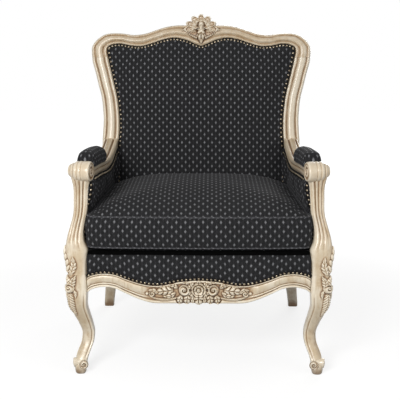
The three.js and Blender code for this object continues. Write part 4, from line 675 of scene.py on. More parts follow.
# %% [markdown]
# ### The leg with its carving
# The knee has a scroll over a hanging spray. A fine ridge runs down the inner edge from the rail to the foot,
# and another down the outer edge.


# %% Front legs
CARVED_CORNER, LEG_RINGS, LEG_RING_POINTS = 1.3 * math.pi, 330, 190
# A scroll at the knee, the hanging spray, two leaves above and two beside.
KNEE_CARVING = [
    (scroll_height, (-1, 263), 14, 1.1, 1, 2.2, 8.5), (leaf_height, (1, 250), (4, 176), 23, -3, 9, 7.5),
    (leaf_height, (8, 266), (15, 299), 17, 4, 4, 7), (leaf_height, (-4, 270), (-16, 299), 17, -4, 4, 7),
    (leaf_height, (-10, 262), (-18, 222), 14, -4, 5, 6), (leaf_height, (11, 258), (14, 232), 9, 3, 3, 5),
]
# Direction round the leg, lowest and highest place, way from the ridge to its groove.
LEG_RIDGES = [(1.76 * math.pi, 30, 262, -5), (1.04 * math.pi, 34, 170, 5)]
RIDGE_HEIGHT, RIDGE_WIDTH, BESIDE_DEPTH, BESIDE_WIDTH = 2.0, 2.0, 1.4, 2.2
FADE_BELOW, FADE_ABOVE = 26, 30


def leg_carving(turn, z, half):
    """Height of the carving over a leg, from the way round from its outward corner and the height."""
    raised = highest(turn_between(turn, CARVED_CORNER) * half * 1.05, z, KNEE_CARVING)
    for edge, low, high, groove in LEG_RIDGES:
        way = turn_between(turn, edge) * half
        strip = RIDGE_HEIGHT * bump(way, RIDGE_WIDTH) - BESIDE_DEPTH * bump(way - groove, BESIDE_WIDTH)
        raised = raised + strip * ease(z, low, low + FADE_BELOW) * ease(z, high, high - FADE_ABOVE)
    return raised


def front_leg():
    """Squarish rings whose middle follows the leg's S curve. The section turns from nearly round at the foot
    to nearly square at the seat, and the carving moves each point outwards from the ring's middle."""
    share = steps_down(LEG_RINGS)
    inwards, back, width = leg_at(share)
    half = 0.5 * width * LEG_WIDTH
    turn = crowded_turn(LEG_RING_POINTS, CARVED_CORNER)[None]
    reach = squarish(turn, mix(2.4, 5, share**2))
    z = share * LEG_TOP
    out = half * reach + leg_carving(turn, z, half)
    return place(
        -LEG_X + inwards * LEG_SWING + out * np.cos(turn), LEG_D + back * LEG_SWING + out * np.sin(turn), z
    )


# Height, share of the full size, with softened ends.
KNEE_BLOCK_RINGS = np.array([(247.6, 0.97), (250, 1), (275, 1), (298.5, 1), (300, 0.98)])
KNEE_BLOCK_X, KNEE_BLOCK_D, KNEE_BLOCK_HALF = -343.75, 53.25, 21.75
FOOT_ROLL_SIDES, HEAD_SIDES = 90, 130


def knee_block():
    """The leg's square top, which the rails meet: a ring of a rounded square carried up."""
    z, size = KNEE_BLOCK_RINGS.T[:, :, None]
    turn = full_turn(64)[None]
    reach = KNEE_BLOCK_HALF * size * squarish(turn, 9.0)
    return tube(place(KNEE_BLOCK_X + reach * np.cos(turn), KNEE_BLOCK_D + reach * np.sin(turn), z))


def end_profile(radius, half, rim):
    """Radius and place along the axis of a roll with flat ends: disc, rounded rim, and a barrel that swells
    by a square towards its middle. The second half mirrors the first."""
    disc = np.linspace(0.02, rim, 22)
    round_share = np.linspace(0, math.pi / 2, 8)[1:]
    edge = rim + (1 - rim) * np.sin(round_share)
    edge_along = 1 - 0.16 * (1 - np.cos(round_share))
    barrel = np.linspace(0.84, 0, 18)[1:]
    waist = 1 - 0.07 * (1 - barrel / 0.84) ** 2
    alongs = np.concatenate([np.ones_like(disc), edge_along, barrel])
    one = place(np.concatenate([disc, edge, waist]) * radius, alongs * half)
    return np.concatenate([one, one[-2::-1] * (1, -1)])


def foot_scroll(centre, axis, radius, half, hand):
    """One of the toe's two rolls, with a spiral cut in both ends."""

    def spiral(a, b, r):
        sunk = 4.2 * ease(r, radius, 0.84 * radius)
        return scroll_height(a, b, (0, 0), radius * 0.9, 1.3, hand, 1.2, 4.6) - sunk

    axis = np.array(axis) / np.linalg.norm(axis)
    return rolled(np.array(centre), axis, (0, 0, 1), end_profile(radius, half, 0.8), FOOT_ROLL_SIDES, spiral)


front_roll = foot_scroll((-338.5, 30.0, 28.5), (0.15, -1.0, 0), 13.5, 14.0, -1)
outer_roll = foot_scroll((-356.0, 33.0, 32.0), (-1.0, -0.2, 0), 14.0, 13.0, 1)
add_pair("front_leg", [tube(front_leg()), knee_block(), front_roll, outer_roll], PAINT, passes=26)

# %% [markdown]
# ## Arm posts
# A post stands on each leg, leans back and in, and rolls over into a head under the arm's end. Its front is
# fluted, and the flutes run up over the head. A leaf curls out where it leaves the leg.

# %% Arm posts
POST_HEIGHT, POST_WIDTH, POST_DEPTH, POST_SWAY_X, POST_SWAY_D = 290.0, 65.0, 52.0, 20.0, 24.0
HEAD_X, HEAD_D, HEAD_Z, HEAD_RADIUS, HEAD_LENGTH = 338.0, 56.0, 598.0, 29.0, 66.0
# Share of the height, lean in, width, lean back, depth.
post_at = smooth([
    (0, 0, 0.84, 0, 1.05), (0.1, 0.02, 0.86, 0, 1), (0.19, -0.06, 0.95, 0, 1), (0.25, -0.06, 1, 0.05, 0.98),
    (0.33, -0.2, 0.83, 0.18, 0.92), (0.4, -0.16, 0.72, 0.4, 0.84), (0.48, 0.06, 0.65, 0.62, 0.78),
    (0.6, 0.45, 0.62, 0.85, 0.76), (0.75, 0.6, 0.67, 1, 0.76), (0.86, 0.66, 0.7, 0.95, 0.78),
    (0.94, 0.7, 0.84, 0.75, 0.86), (1, 0.72, 0.96, 0.55, 0.92),
])
# Place along the head from its outer end (-1) to its inner end (1), share of the radius.
head_at = smooth([
    (-1, 0.42), (-0.97, 0.52), (-0.9, 0.62), (-0.78, 0.71), (-0.64, 0.79), (-0.54, 0.81), (-0.49, 0.8),
    (-0.44, 0.86), (-0.36, 0.94), (-0.24, 0.98), (-0.14, 0.965), (-0.09, 0.94), (-0.03, 0.975), (0.08, 1),
    (0.2, 0.99), (0.27, 0.955), (0.33, 0.985), (0.5, 1), (0.72, 1), (0.87, 0.985), (0.95, 0.95), (1, 0.9),
])
POST_FLUTE_SHARES, FLUTE_WIDTH, FLUTE_DEPTH = (-0.66, -0.16, 0.34), 0.12, 3.6
POST_BEAD_SHARE, POST_BEAD_WIDTH, POST_BEAD_HEIGHT = 0.88, 0.1, 0.9
POST_RINGS, POST_RING_POINTS, POST_LEAF_DIRECTION = 330, 200, 1.16 * math.pi
POST_LEAVES = [
    (leaf_height, (4, 304), (-5, 386), 30, 4, 5, 7.5), (leaf_height, (13, 300), (24, 356), 17, -3, 5, 5.5),
    (leaf_height, (-9, 300), (-19, 352), 17, 3, 4, 5.5),
]
HEAD_YAW = math.radians(13)


def arm_post():
    """Squarish rings up the post. On the front, three flutes are sunk by a soft hill in the share of the
    width, and die out towards the foot, where leaves stand out on the outer side."""
    share = steps_down(POST_RINGS)
    lean_in, width, lean_back, depth = post_at(share)
    turn = crowded_turn(POST_RING_POINTS, CARVED_CORNER, 0.45)[None]
    reach = squarish(turn, mix(4.8, 3.2, ease(share, 0.02, 0.25)))
    across, forward = np.cos(turn) * reach, -np.sin(turn) * reach
    front = ease(forward, 0.2, 0.75)
    flutes = FLUTE_DEPTH * sum(bump(across - middle, FLUTE_WIDTH) for middle in POST_FLUTE_SHARES)
    bead = POST_BEAD_HEIGHT * bump(across - POST_BEAD_SHARE, POST_BEAD_WIDTH)
    z = mix(LEG_TOP + GAP, LEG_TOP + POST_HEIGHT, share)
    round_way = turn_between(turn, POST_LEAF_DIRECTION) * 0.5 * width * POST_WIDTH
    move = highest(round_way, z, POST_LEAVES) + (bead - flutes) * front * ease(share, 0.14, 0.58)
    x = -LEG_X + lean_in * POST_SWAY_X + (0.5 * width * POST_WIDTH * reach + move) * np.cos(turn)
    d = LEG_D + lean_back * POST_SWAY_D + (0.5 * depth * POST_DEPTH * reach + move) * np.sin(turn)
    return tube(place(x, d, z))


def post_head():
    """The rolled head: a turned barrel across the post, grooved in line with the flutes, with spiral ends."""
    along = np.linspace(-1, 1, 120)
    (radius,) = head_at(along)
    barrel = place(radius * HEAD_RADIUS, along * 0.5 * HEAD_LENGTH)
    disc = np.linspace(0.02, 1, 24)[:-1]
    first, last = place(disc * barrel[0, 0], barrel[0, 1]), place(disc[::-1] * barrel[-1, 0], barrel[-1, 1])

    def spiral(a, b, r):
        flat = ease(r, 0.8 * HEAD_RADIUS, 0.66 * HEAD_RADIUS)
        return flat * (scroll_height(a, b, (0, 0), 0.76 * HEAD_RADIUS, 1.5, 1, 0.4, 4.0) - 3.0)

    profile = np.concatenate([first, barrel, last])
    axis = (math.cos(HEAD_YAW), -math.sin(HEAD_YAW), 0)
    return rolled((-HEAD_X, HEAD_D, HEAD_Z), axis, (0, 0, 1), profile, HEAD_SIDES, spiral)


add_pair("arm_post", [arm_post(), post_head()], PAINT, passes=22)

# %% [markdown]
# ## Arm rails
# A moulded bar runs from the head of each post, dips, and rises to the back frame. Its section is one outline
# carried along the rail's curve. Near the back, two grooves in its top lead into the stile's moulding.

# %% Arm rails
RAKE, PIVOT_D, PIVOT_Z = math.radians(10), 592.0, 400.0
ARM_DIP, ARM_WIDTH, ARM_THICKNESS = 31.0, 48.0, 30.0
ARM_FRONT, ARM_REAR = np.array([-329.0, 70.5]), np.array([-303.7, 637.0])
ARM_FRONT_TOP = 603.0
# Share of the length, share of the dip.
arm_dip_at = smooth([
    (0, 0), (0.28, 0.4), (0.46, 0.75), (0.63, 1), (0.74, 0.87), (0.84, 0.5), (0.94, 0.08), (1, -0.25),
])
# Share of the width from the outer side, share of the thickness from the top.
ARM_SECTION_SHARES = [
    (0.1, 0), (0.16, 0), (0.22, 0), (0.3, 0), (0.4, -0.01), (0.5, -0.01), (0.57, -0.01), (0.63, 0), (0.69, 0),
    (0.76, 0), (0.84, 0), (0.92, 0.03), (0.975, 0.1), (0.995, 0.2), (0.985, 0.29), (0.95, 0.36),
    (0.915, 0.4), (0.91, 0.45), (0.94, 0.49), (0.975, 0.56), (0.99, 0.66), (0.975, 0.76), (0.93, 0.83),
    (0.9, 0.87), (0.905, 0.92), (0.88, 0.985), (0.84, 1), (0.5, 1), (0.14, 1), (0.08, 0.97), (0.09, 0.9),
    (0.06, 0.84), (0.02, 0.76), (0.005, 0.66), (0.02, 0.56), (0.06, 0.49), (0.085, 0.45), (0.08, 0.4),
    (0.04, 0.36), (0.01, 0.29), (0, 0.2), (0.02, 0.1), (0.05, 0.03),
]
# Share of the width of each groove's middle, and its half width.
ARM_GROOVES, ARM_GROOVE_DEPTH = [(0.15, 0.09), (0.665, 0.13)], 5.0


def finer(ring, times):
    """A closed outline cut finer: each pass puts a point in the middle of each side and then lets every point
    move a quarter of the way to its neighbours' middle."""
    for _ in range(times):
        between = 0.5 * (ring + np.roll(ring, -1, axis=0))
        ring = np.stack([ring, between], axis=1).reshape(-1, ring.shape[1])
        ring = 0.5 * ring + 0.25 * (np.roll(ring, 1, axis=0) + np.roll(ring, -1, axis=0))
    return ring


def arm_top(share):
    """Middle of the arm rail's top, from the post (0) to the stile (1)."""
    (dip,) = arm_dip_at(share)
    flat = mix(ARM_FRONT, ARM_REAR, np.asarray(share, float)[..., None])
    return flat[..., 0], flat[..., 1], ARM_FRONT_TOP - ARM_DIP * dip


def arm_rail():
    """The section swept along the dipping line. Behind the pad, two grooves in its top lead into the stile's:
    each is deepest at its middle and eases out at its sides and towards the pad."""
    share = np.linspace(0, 0.985, 160)
    x, d, z = arm_top(share)
    outline = finer(np.array(ARM_SECTION_SHARES), 2)
    across, down = outline[None, :, 0], outline[None, :, 1]
    groove = np.sum([1 - ease(np.abs(across - middle), 0, half) for middle, half in ARM_GROOVES], axis=0)
    cut = ARM_GROOVE_DEPTH * groove * (1 - ease(down, 0.05, 0.3)) * ease(share, 0.5, 0.64)[:, None]
    depth = down * ARM_THICKNESS + cut
    return tube(place(x[:, None] + (across - 0.5) * ARM_WIDTH, d[:, None], z[:, None] - depth))


add_pair("arm_rail", [arm_rail()], PAINT, passes=18)

# %% [markdown]
# ## Back frame
# Each rear post is a leg and a stile in one piece of wood: the plain splayed leg turns above the arm into the
# moulded stile. The crest rail stands on both. All show the same moulding, a bead at the outer rim, a groove,
# a broad round, a second groove and an inner bead, so one section serves them all.

# %% Section of the back frame
FRAME_HALF_WIDTH, FRAME_TOP, FRAME_THICKNESS = 372.0, 595.0, 42.0
CREST_JOINT, STILE_FOOT_UP, ARM_REAR_UP = 485.04, -62.96, 198.8
REAR_LEG_WIDTH, REAR_LEG_SPLAY, REAR_LEG_SWEEP, RAIL_TOP = 48.0, 20.0, 86.0, 338.0
# Share of the width from the outer edge, share of the thickness.
FRAME_SECTION_SHARES = [
    (0.06, 0), (0.02, 0.03), (0, 0.1), (0, 0.3), (0, 0.48), (0, 0.58), (0.01, 0.66), (0.03, 0.74),
    (0.06, 0.81), (0.095, 0.855), (0.125, 0.865), (0.155, 0.85), (0.185, 0.815), (0.21, 0.79), (0.235, 0.8),
    (0.265, 0.86), (0.3, 0.915), (0.35, 0.96), (0.42, 0.99), (0.49, 1), (0.55, 0.99), (0.61, 0.955),
    (0.655, 0.9), (0.685, 0.845), (0.71, 0.825), (0.735, 0.84), (0.76, 0.875), (0.8, 0.91), (0.84, 0.92),
    (0.88, 0.9), (0.915, 0.86), (0.945, 0.825), (0.975, 0.79), (0.995, 0.73), (1, 0.65), (1, 0.55),
    (1, 0.4), (1, 0.2), (1, 0.04), (0.97, 0), (0.7, 0), (0.4, 0),
]
# Share of the height to the crest joint, outer and inner edge.
stile_at = smooth([
    (-0.15, 0.89, 0.755), (0.2, 0.893, 0.755), (0.34, 0.9, 0.75), (0.42, 0.903, 0.742),
    (0.48, 0.898, 0.735), (0.56, 0.893, 0.734), (0.65, 0.898, 0.742), (0.73, 0.911, 0.756),
    (0.81, 0.938, 0.78), (0.9, 0.966, 0.807), (0.97, 0.992, 0.829), (1, 0.996, 0.836),
])
# Share of the height, splay, sweep, width.
rear_leg_at = smooth([
    (0, 1, 1, 0.68), (0.04, 0.98, 0.97, 0.71), (0.18, 0.72, 0.74, 0.74), (0.36, 0.36, 0.45, 0.82),
    (0.57, 0.1, 0.19, 0.92), (0.76, 0, 0.05, 0.98), (1, 0, 0, 1),
])
# Joint to middle: share along the crest, outer edge across and up, inner edge across and up.
crest_at = smooth([
    (0, 0.996, 0.8152, 0.836, 0.8152), (0.05, 1, 0.846, 0.846, 0.843), (0.1, 0.995, 0.879, 0.842, 0.866),
    (0.16, 0.97, 0.905, 0.828, 0.877), (0.22, 0.932, 0.928, 0.814, 0.881),
    (0.28, 0.876, 0.948, 0.797, 0.884), (0.34, 0.806, 0.955, 0.771, 0.887),
    (0.42, 0.71, 0.953, 0.722, 0.887), (0.51, 0.61, 0.945, 0.634, 0.876), (0.6, 0.508, 0.953, 0.538, 0.874),
    (0.69, 0.4, 0.975, 0.43, 0.892), (0.77, 0.317, 0.991, 0.339, 0.911), (0.86, 0.21, 1, 0.237, 0.921),
    (0.92, 0.126, 1, 0.14, 0.909), (0.97, 0.054, 1, 0.054, 0.886), (1, 0, 1, 0, 0.874),
])
moulded = finer(np.array(FRAME_SECTION_SHARES), 1)
mould_across, mould_forward = moulded[None, :, 0], moulded[None, :, 1]
# The plain section has the moulded one's points, each moved along its ray to a rounded square's rim.
PLAIN_POWER = 5
from_middle = np.stack([mould_across, mould_forward]) - 0.5
plain_reach = (np.abs(2 * from_middle) ** PLAIN_POWER).sum(axis=0) ** (-1 / PLAIN_POWER)
plain_across, plain_forward = 0.5 + from_middle * plain_reach


def back_place(across, up, out):
    """A point of the back frame: across, up along the rake, and out of its face."""
    d = PIVOT_D + up * math.sin(RAKE) - out * math.cos(RAKE)
    return place(across, d, PIVOT_Z + up * math.cos(RAKE) + out * math.sin(RAKE))


def stile_edges(up):
    """Outer and inner edge of the left stile at a height along the rake."""
    outer, inner = stile_at(np.asarray(up) / CREST_JOINT)
    return -outer * FRAME_HALF_WIDTH, -inner * FRAME_HALF_WIDTH


# %% Rear posts
def rear_post():
    """Rings of the plain section up the swept leg, then of a section that grows from plain to moulded."""
    share = steps_down(60)
    splay, sweep, width = rear_leg_at(share)
    outer, inner = stile_edges(STILE_FOOT_UP)
    top = back_place((outer + inner) / 2, STILE_FOOT_UP, -FRAME_THICKNESS / 2)
    half = 0.5 * width * REAR_LEG_WIDTH
    leg = place(
        top[0] - splay * REAR_LEG_SPLAY + (2 * plain_across - 1) * half,
        top[1] + sweep * REAR_LEG_SWEEP - (2 * plain_forward - 1) * half,
        share * (RAIL_TOP - REAR_LEG_WIDTH),
    )
    up = steps_down(250, STILE_FOOT_UP, CREST_JOINT - GAP)
    outer, inner = stile_edges(up)
    grown = ease(up, ARM_REAR_UP - ARM_THICKNESS, ARM_REAR_UP + ARM_THICKNESS)
    across = mix(outer, inner, mix(plain_across, mould_across, grown))
    stile = back_place(across, up, -FRAME_THICKNESS * (1 - mix(plain_forward, mould_forward, grown)))
    return tube(np.concatenate([leg, stile]))


add_pair("rear_post", [rear_post()], PAINT, passes=12)

# %% [markdown]
# ## Crest rail and its shell
# The crest is sawn from one board with the shell left standing in its middle. The shell is a fan of hollow
# lobes over a heart. Below it hangs an acanthus leaf, with a leaf and a trail of beads on each side.

# %% Crest rail
CREST_GROUND = 4.5
# The husk below the shell with its side leaves, the long leaves beside it, and a trail of shrinking beads.
CREST_CARVING = [
    (leaf_height, (0, 586), (0, 530), 27, 0, 3, 14), (trail_height, (0, 590), (0, 572), 13, 13),
    (trail_height, (0, 578), (9, 579), 7, 13.5), (leaf_height, (3, 574), (20, 548), 14, -3, 3, 11.5),
    (leaf_height, (16, 572), (60, 584), 13, -3, 6, 9), (leaf_height, (44, 577), (74, 573), 10, 2, 4, 8),
]
for share in np.linspace(0, 1, 7):
    spot = (mix(16, 50, share), mix(551, 571, share) - 2 * math.sin(math.pi * share))
    CREST_CARVING.append((bead_height, spot, mix(4.2, 3.0, share), 11 - 2 * share))


def crest_rail():
    """Rings of the moulded section, from the left joint over the middle to the right joint. The carving takes
    the place of the moulding wherever it stands higher."""
    share = steps_through((0, 0.78, 1), (109, 111))
    outer_x, outer_up, inner_x, inner_up = crest_at(share[:, None])
    fine = np.linspace(0, 1, 3)[:-1]
    following = (np.roll(moulded, -1, axis=0) - moulded)[:, None]
    close = (moulded[:, None] + following * fine[:, None]).reshape(-1, 2)
    level = np.repeat(moulded[:, 1], len(fine)) > 0.7
    close = close[level | (np.arange(len(close)) % len(fine) == 0)]
    ring_across, ring_forward = close[None, :, 0], close[None, :, 1]
    across = -mix(outer_x, inner_x, ring_across) * FRAME_HALF_WIDTH
    up = mix(outer_up, inner_up, ring_across) * FRAME_TOP
    out = -FRAME_THICKNESS * (1 - ring_forward) + 0 * across
    carved = highest(np.abs(across), up, CREST_CARVING)
    out = np.where((ring_forward > 0.7) & (carved > 0), np.maximum(out, carved - CREST_GROUND), out)
    halves = ((across, -1), (up, 1), (out, 1))
    return tube(back_place(*(np.concatenate([values, sign * values[-2::-1]]) for values, sign in halves)))


SHELL_HEART_UP, SHELL_SPREAD, SHELL_HEART_RADIUS = 588.0, 114, 22.0
# Middle and half of the angle in degrees, length; the outer lobes are longer.
SHELL_LOBES = [(0, 23, 43), *((sign * middle, half, length) for middle, half, length in (
    (42, 22, 46), (76, 17, 53), (101, 13, 60)) for sign in (-1, 1))]


def crest_shell():
    """A fan of lobes on polar rows. The outline is the farthest of the lobes' arches at each angle. A lobe is
    a spoon: hollow along its middle, raised at its rims and rounded over at its tip. Between two lobes lies
    a deep groove. The back is a plain low dome."""
    turn = np.radians(steps_across(215, -SHELL_SPREAD, SHELL_SPREAD))
    share = steps_through((0.02, 0.55, 1), (17, 33))[:, None]
    reach = np.full_like(turn, SHELL_HEART_RADIUS)
    ridge = np.zeros_like(turn)
    for middle, half, length in SHELL_LOBES:
        off = (turn - math.radians(middle)) / math.radians(half)
        arch = length * (1 - 0.34 * off**2)
        ridge = np.where(arch > reach, np.clip(1 - off**2, 0, 1), ridge)
        reach = np.maximum(reach, np.where(np.abs(off) < 1.25, arch, 0))
    radius = share * reach
    across, up = radius * np.sin(turn), SHELL_HEART_UP + radius * np.cos(turn)
    over = np.sqrt(np.clip(1 - share**9, 0, 1))
    grown = ease(share, 0.2, 0.5)
    dome = mix(8.0, 12.0, share)
    lobe = 10.0 * np.sqrt(ridge) * grown
    spoon = 9.0 * bump(1 - ridge, 0.55) * ease(share, 0.4, 0.66) * ease(share, 0.97, 0.8)
    out = (dome + lobe - spoon) * over - 9.5
    heart = bead_height(across, up - SHELL_HEART_UP, (0, 9), 10.5, 15.0) - 2.0
    bar = trail_height(across, up - SHELL_HEART_UP, (-24, -6), (24, -6), 9, 9.5) - 3.0
    out = np.maximum.reduce([out, heart, bar])
    back = -FRAME_THICKNESS + 14.0 + 8 * ease(share, 0.5, 1) * np.ones_like(turn)
    return plate(back_place(across, up, out), back_place(across * 0.97, mix(SHELL_HEART_UP, up, 0.97), back))


crest_skins = [crest_rail(), crest_shell()]
add_piece("crest_rail_dressed", crest_skins, PAINT, ["crest_rail"], passes=16)

# %% [markdown]
# ## Front rail
# The rail's lower edge swings in the same curve as its top, and the moulding follows both. In the middle a
# rose sits among scrolls and leaves. The carving is a height over the rail's face, with the moulding running
# out beneath it, as a carver cuts both from one board.

# %% Front rail
FRONT_RAIL_HALF, FRONT_FACE_D, FRONT_BOW, FRONT_RAIL_INNER_D = 321.7, 10.0, 10.0, 56.0
RAIL_RELIEF, REBATE, RAIL_INNER_BOTTOM = 7.0, 8.0, 256.0
# Share of the half-length, upper and lower edge as shares below the highest point.
front_rail_at = smooth([
    (0, 0.195, 0.954), (0.17, 0.25, 0.99), (0.31, 0.36, 1), (0.42, 0.38, 0.985), (0.53, 0.31, 0.87),
    (0.65, 0.17, 0.68), (0.75, 0.035, 0.51), (0.86, 0, 0.46), (0.96, 0.07, 0.55), (1, 0.15, 0.66),
])
# Share of the show height from the bottom, share of the relief by which it lies back.
rail_section_at = smooth([
    (0, 0.62), (0.012, 0.35), (0.04, 0.12), (0.08, 0.02), (0.12, 0.05), (0.155, 0.25), (0.175, 0.6),
    (0.195, 0.78), (0.215, 0.7), (0.235, 0.42), (0.265, 0.28), (0.3, 0.34), (0.325, 0.62), (0.345, 0.7),
    (0.37, 0.55), (0.45, 0.3), (0.56, 0.1), (0.68, 0.04), (0.78, 0.14), (0.84, 0.34), (0.865, 0.58),
    (0.885, 0.62), (0.905, 0.4), (0.94, 0.18), (0.975, 0.2), (1, 0.5),
])


def front_rail_edges(x):
    """Top and bottom of the show wood and the depth of its face at a place across the chair."""
    share = np.abs(x) / FRONT_RAIL_HALF
    upper, lower = front_rail_at(share)
    top = FRONT_SHOW_TOP - upper * FRONT_SHOW_DEPTH
    return top, FRONT_SHOW_TOP - lower * FRONT_SHOW_DEPTH, FRONT_FACE_D + FRONT_BOW * share**2


ROSE_MIDDLE, ROSE_RADIUS, ROSE_HEIGHT = (0, 259), 21.5, 17.0
# The scroll beside the rose, the leaves below and above it, the spray to the side with its stem, its closing
# scroll and bead, and the pendant and the leaf above in the middle.
RAIL_CARVING = [
    (scroll_height, (42, 258), 16, 1.1, 1, 2.6, 13), (leaf_height, (30, 244), (33, 213), 22, 2, 3, 12),
    (leaf_height, (50, 243), (55, 214), 20, 2, 3, 11), (leaf_height, (12, 240), (18, 216), 14, 2, 3, 10),
    (leaf_height, (24, 277), (58, 281), 13, 3, 3, 10), (leaf_height, (60, 264), (88, 271), 17, 5, 3, 11),
    (leaf_height, (72, 258), (128, 250), 30, 2, 4, 13), (leaf_height, (66, 251), (104, 240), 17, -5, 3, 11),
    (leaf_height, (92, 262), (122, 267), 13, 5, 3, 9), (leaf_height, (60, 236), (146, 241), 8, -9, 0, 10),
    (leaf_height, (118, 252), (146, 257), 12, 3, 2, 9), (scroll_height, (135, 247), 9, 1.0, -1, 0.4, 9),
    (bead_height, (149, 247), 5, 7), (leaf_height, (0, 246), (0, 207), 27, 0, 3, 15),
    (leaf_height, (0, 272), (0, 293), 18, 0, 3, 10),
]
# Four leaves that radiate from behind the rose.
for angle in (0.25, 0.8):
    across, rise = 38 * math.cos(angle), 34 * math.sin(angle)
    RAIL_CARVING.append((leaf_height, (14, 264), (across, 259 + rise), 15, 2, 3, 11))
    RAIL_CARVING.append((leaf_height, (14, 252), (across, 259 - rise), 15, -2, 3, 11))


def rail_carving(x, z):
    """Height of the rose and of what is carved round it. Nothing else stands inside the rose's rim."""
    away = ease(np.hypot(x - ROSE_MIDDLE[0], z - ROSE_MIDDLE[1]), ROSE_RADIUS - 1, ROSE_RADIUS + 1.5)
    rose = rose_height(x, z, ROSE_MIDDLE, ROSE_RADIUS, ROSE_HEIGHT)
    return np.maximum(rose, away * highest(np.abs(x), z, RAIL_CARVING))


def front_rail():
    """Rings across the rail. The show face is the higher of moulding and carving, measured from a ground that
    lies the moulding's relief behind the face. Round the carving the moulding's middle is cleared to a
    millimetre. Then come the rebate, the top, the back and the underside."""
    x = steps_through((-FRONT_RAIL_HALF, -168, 168, FRONT_RAIL_HALF), (65, 336, 65))[:, None]
    top, bottom, face = front_rail_edges(x)
    side = np.abs(x)
    tips = 2.4 * ease(side, 66, 58) * np.abs(np.cos(math.pi * (side - 33) / 22)) * ease(side, 14, 22)
    bottom = bottom - np.maximum(5.5 * bump(side, 13.0), tips)
    up = steps_across(84)
    (back,) = rail_section_at(up)
    z = mix(bottom, top, up)
    clear_from = mix(0.17, 0.0, ease(side, 70, 60))
    cleared = ease(side, 172, 146) * ease(up, clear_from, clear_from + 0.05) * ease(up, 0.91, 0.87)
    forward = np.maximum(mix(RAIL_RELIEF * (1 - back), 1.0, cleared), rail_carving(x, z))
    show = place(x, face + RAIL_RELIEF - forward, z)
    rear_low = np.maximum(bottom, RAIL_INNER_BOTTOM)
    inner = FRONT_RAIL_INNER_D
    corners = [(face + REBATE, top), (face + REBATE, RAIL_TOP), (inner, RAIL_TOP), (inner, rear_low)]
    return tube(np.concatenate([show, *(place(x, d, z) for d, z in corners)], axis=1))


add_piece("front_rail_dressed", [front_rail()], PAINT, ["front_rail"], passes=16)

# %% [markdown]
# ## Side rails
# The side rails show the same moulding, lower and plainer, with a swing in the middle. They run from the
# leg's square top to the rear post.

# %% Side rails
SIDE_SHOW_TOP, SIDE_SHOW_DEPTH, SIDE_BOW, SIDE_RAIL_THICKNESS = 294.0, 46.0, 6.0, 40.0
SIDE_RAIL_FRONT_D, SIDE_RAIL_REAR_D, SIDE_OUTER_FRONT, SIDE_OUTER_REAR = 75.3, 581.1, 374.0, 336.2
# Share of the length, upper and lower edge, outward bow.
side_rail_at = smooth([
    (0, 0.06, 0.92, 0), (0.12, 0, 0.72, 0.5), (0.35, 0.08, 0.86, 1), (0.5, 0.14, 1, 1),
    (0.65, 0.08, 0.9, 0.9), (0.88, 0, 0.74, 0.4), (1, 0.06, 0.9, 0),
])


def side_outer_x(d):
    """Outer line of the left side rail in plan, without its bow."""
    share = (d - SIDE_RAIL_FRONT_D) / (SIDE_RAIL_REAR_D - SIDE_RAIL_FRONT_D)
    return -mix(SIDE_OUTER_FRONT, SIDE_OUTER_REAR, share)


def side_rail():
    """Rings along the rail: the moulded show face, then the rebate, the top, the back and the underside."""
    share = steps_down(150)
    upper, lower, bow = side_rail_at(share)
    d = mix(SIDE_RAIL_FRONT_D, SIDE_RAIL_REAR_D + 6, share)
    face = side_outer_x(d) - bow * SIDE_BOW
    top, bottom = SIDE_SHOW_TOP - upper * SIDE_SHOW_DEPTH, SIDE_SHOW_TOP - lower * SIDE_SHOW_DEPTH
    up = steps_across(70)
    (back,) = rail_section_at(up)
    show = place(face + back * RAIL_RELIEF, d, mix(bottom, top, up))
    outer, inner = side_outer_x(d), side_outer_x(d) + SIDE_RAIL_THICKNESS
    rebate = outer + REBATE
    corners = [(rebate, top), (rebate, RAIL_TOP), (inner, RAIL_TOP), (inner, RAIL_INNER_BOTTOM)]
    return tube(np.concatenate([show, *(place(x, d, z) for x, z in corners)], axis=1))


add_pair("side_rail", [side_rail()], PAINT, passes=12)

# %% [markdown]
# ## The cloth
# The cover is a charcoal jacquard: a fine rib with small grey lozenges in staggered rows. The weave follows
# each panel, so it reads the panel's own map of the cloth, which is laid out in metres. The lozenge comes
# from two lattices, each half a repeat from the other, and the ribs from sine waves.

# %% Charcoal jacquard
REPEAT_ACROSS, REPEAT_ALONG = 0.025, 0.0262
LOZENGE_HALF_WIDTH, LOZENGE_HALF_HEIGHT, RIB = 0.0031, 0.0048, 0.0011


def lozenge_share(finish, u, v, shift):
    """Distance from the nearest lozenge's middle, as a share of its half-size: the sum of both ways."""
    parts = []
    ways = ((u, REPEAT_ACROSS, LOZENGE_HALF_WIDTH), (v, REPEAT_ALONG, LOZENGE_HALF_HEIGHT))
    for value, repeat, half in ways:
        count = finish.times_plus(value, 1 / repeat, 100.5 + shift)
        off = finish.math("ABSOLUTE", finish.math("SUBTRACT", finish.math("FRACT", count), 0.5))
        parts.append(finish.times(off, repeat / half))
    return finish.plus(*parts)


def waves(finish, value, repeat, shift=0.0):
    """A sine wave over a length, from 0 to 1."""
    turns = finish.times_plus(value, 2 * math.pi / repeat, shift)
    return finish.times_plus(finish.math("SINE", turns), 0.5, 0.5)


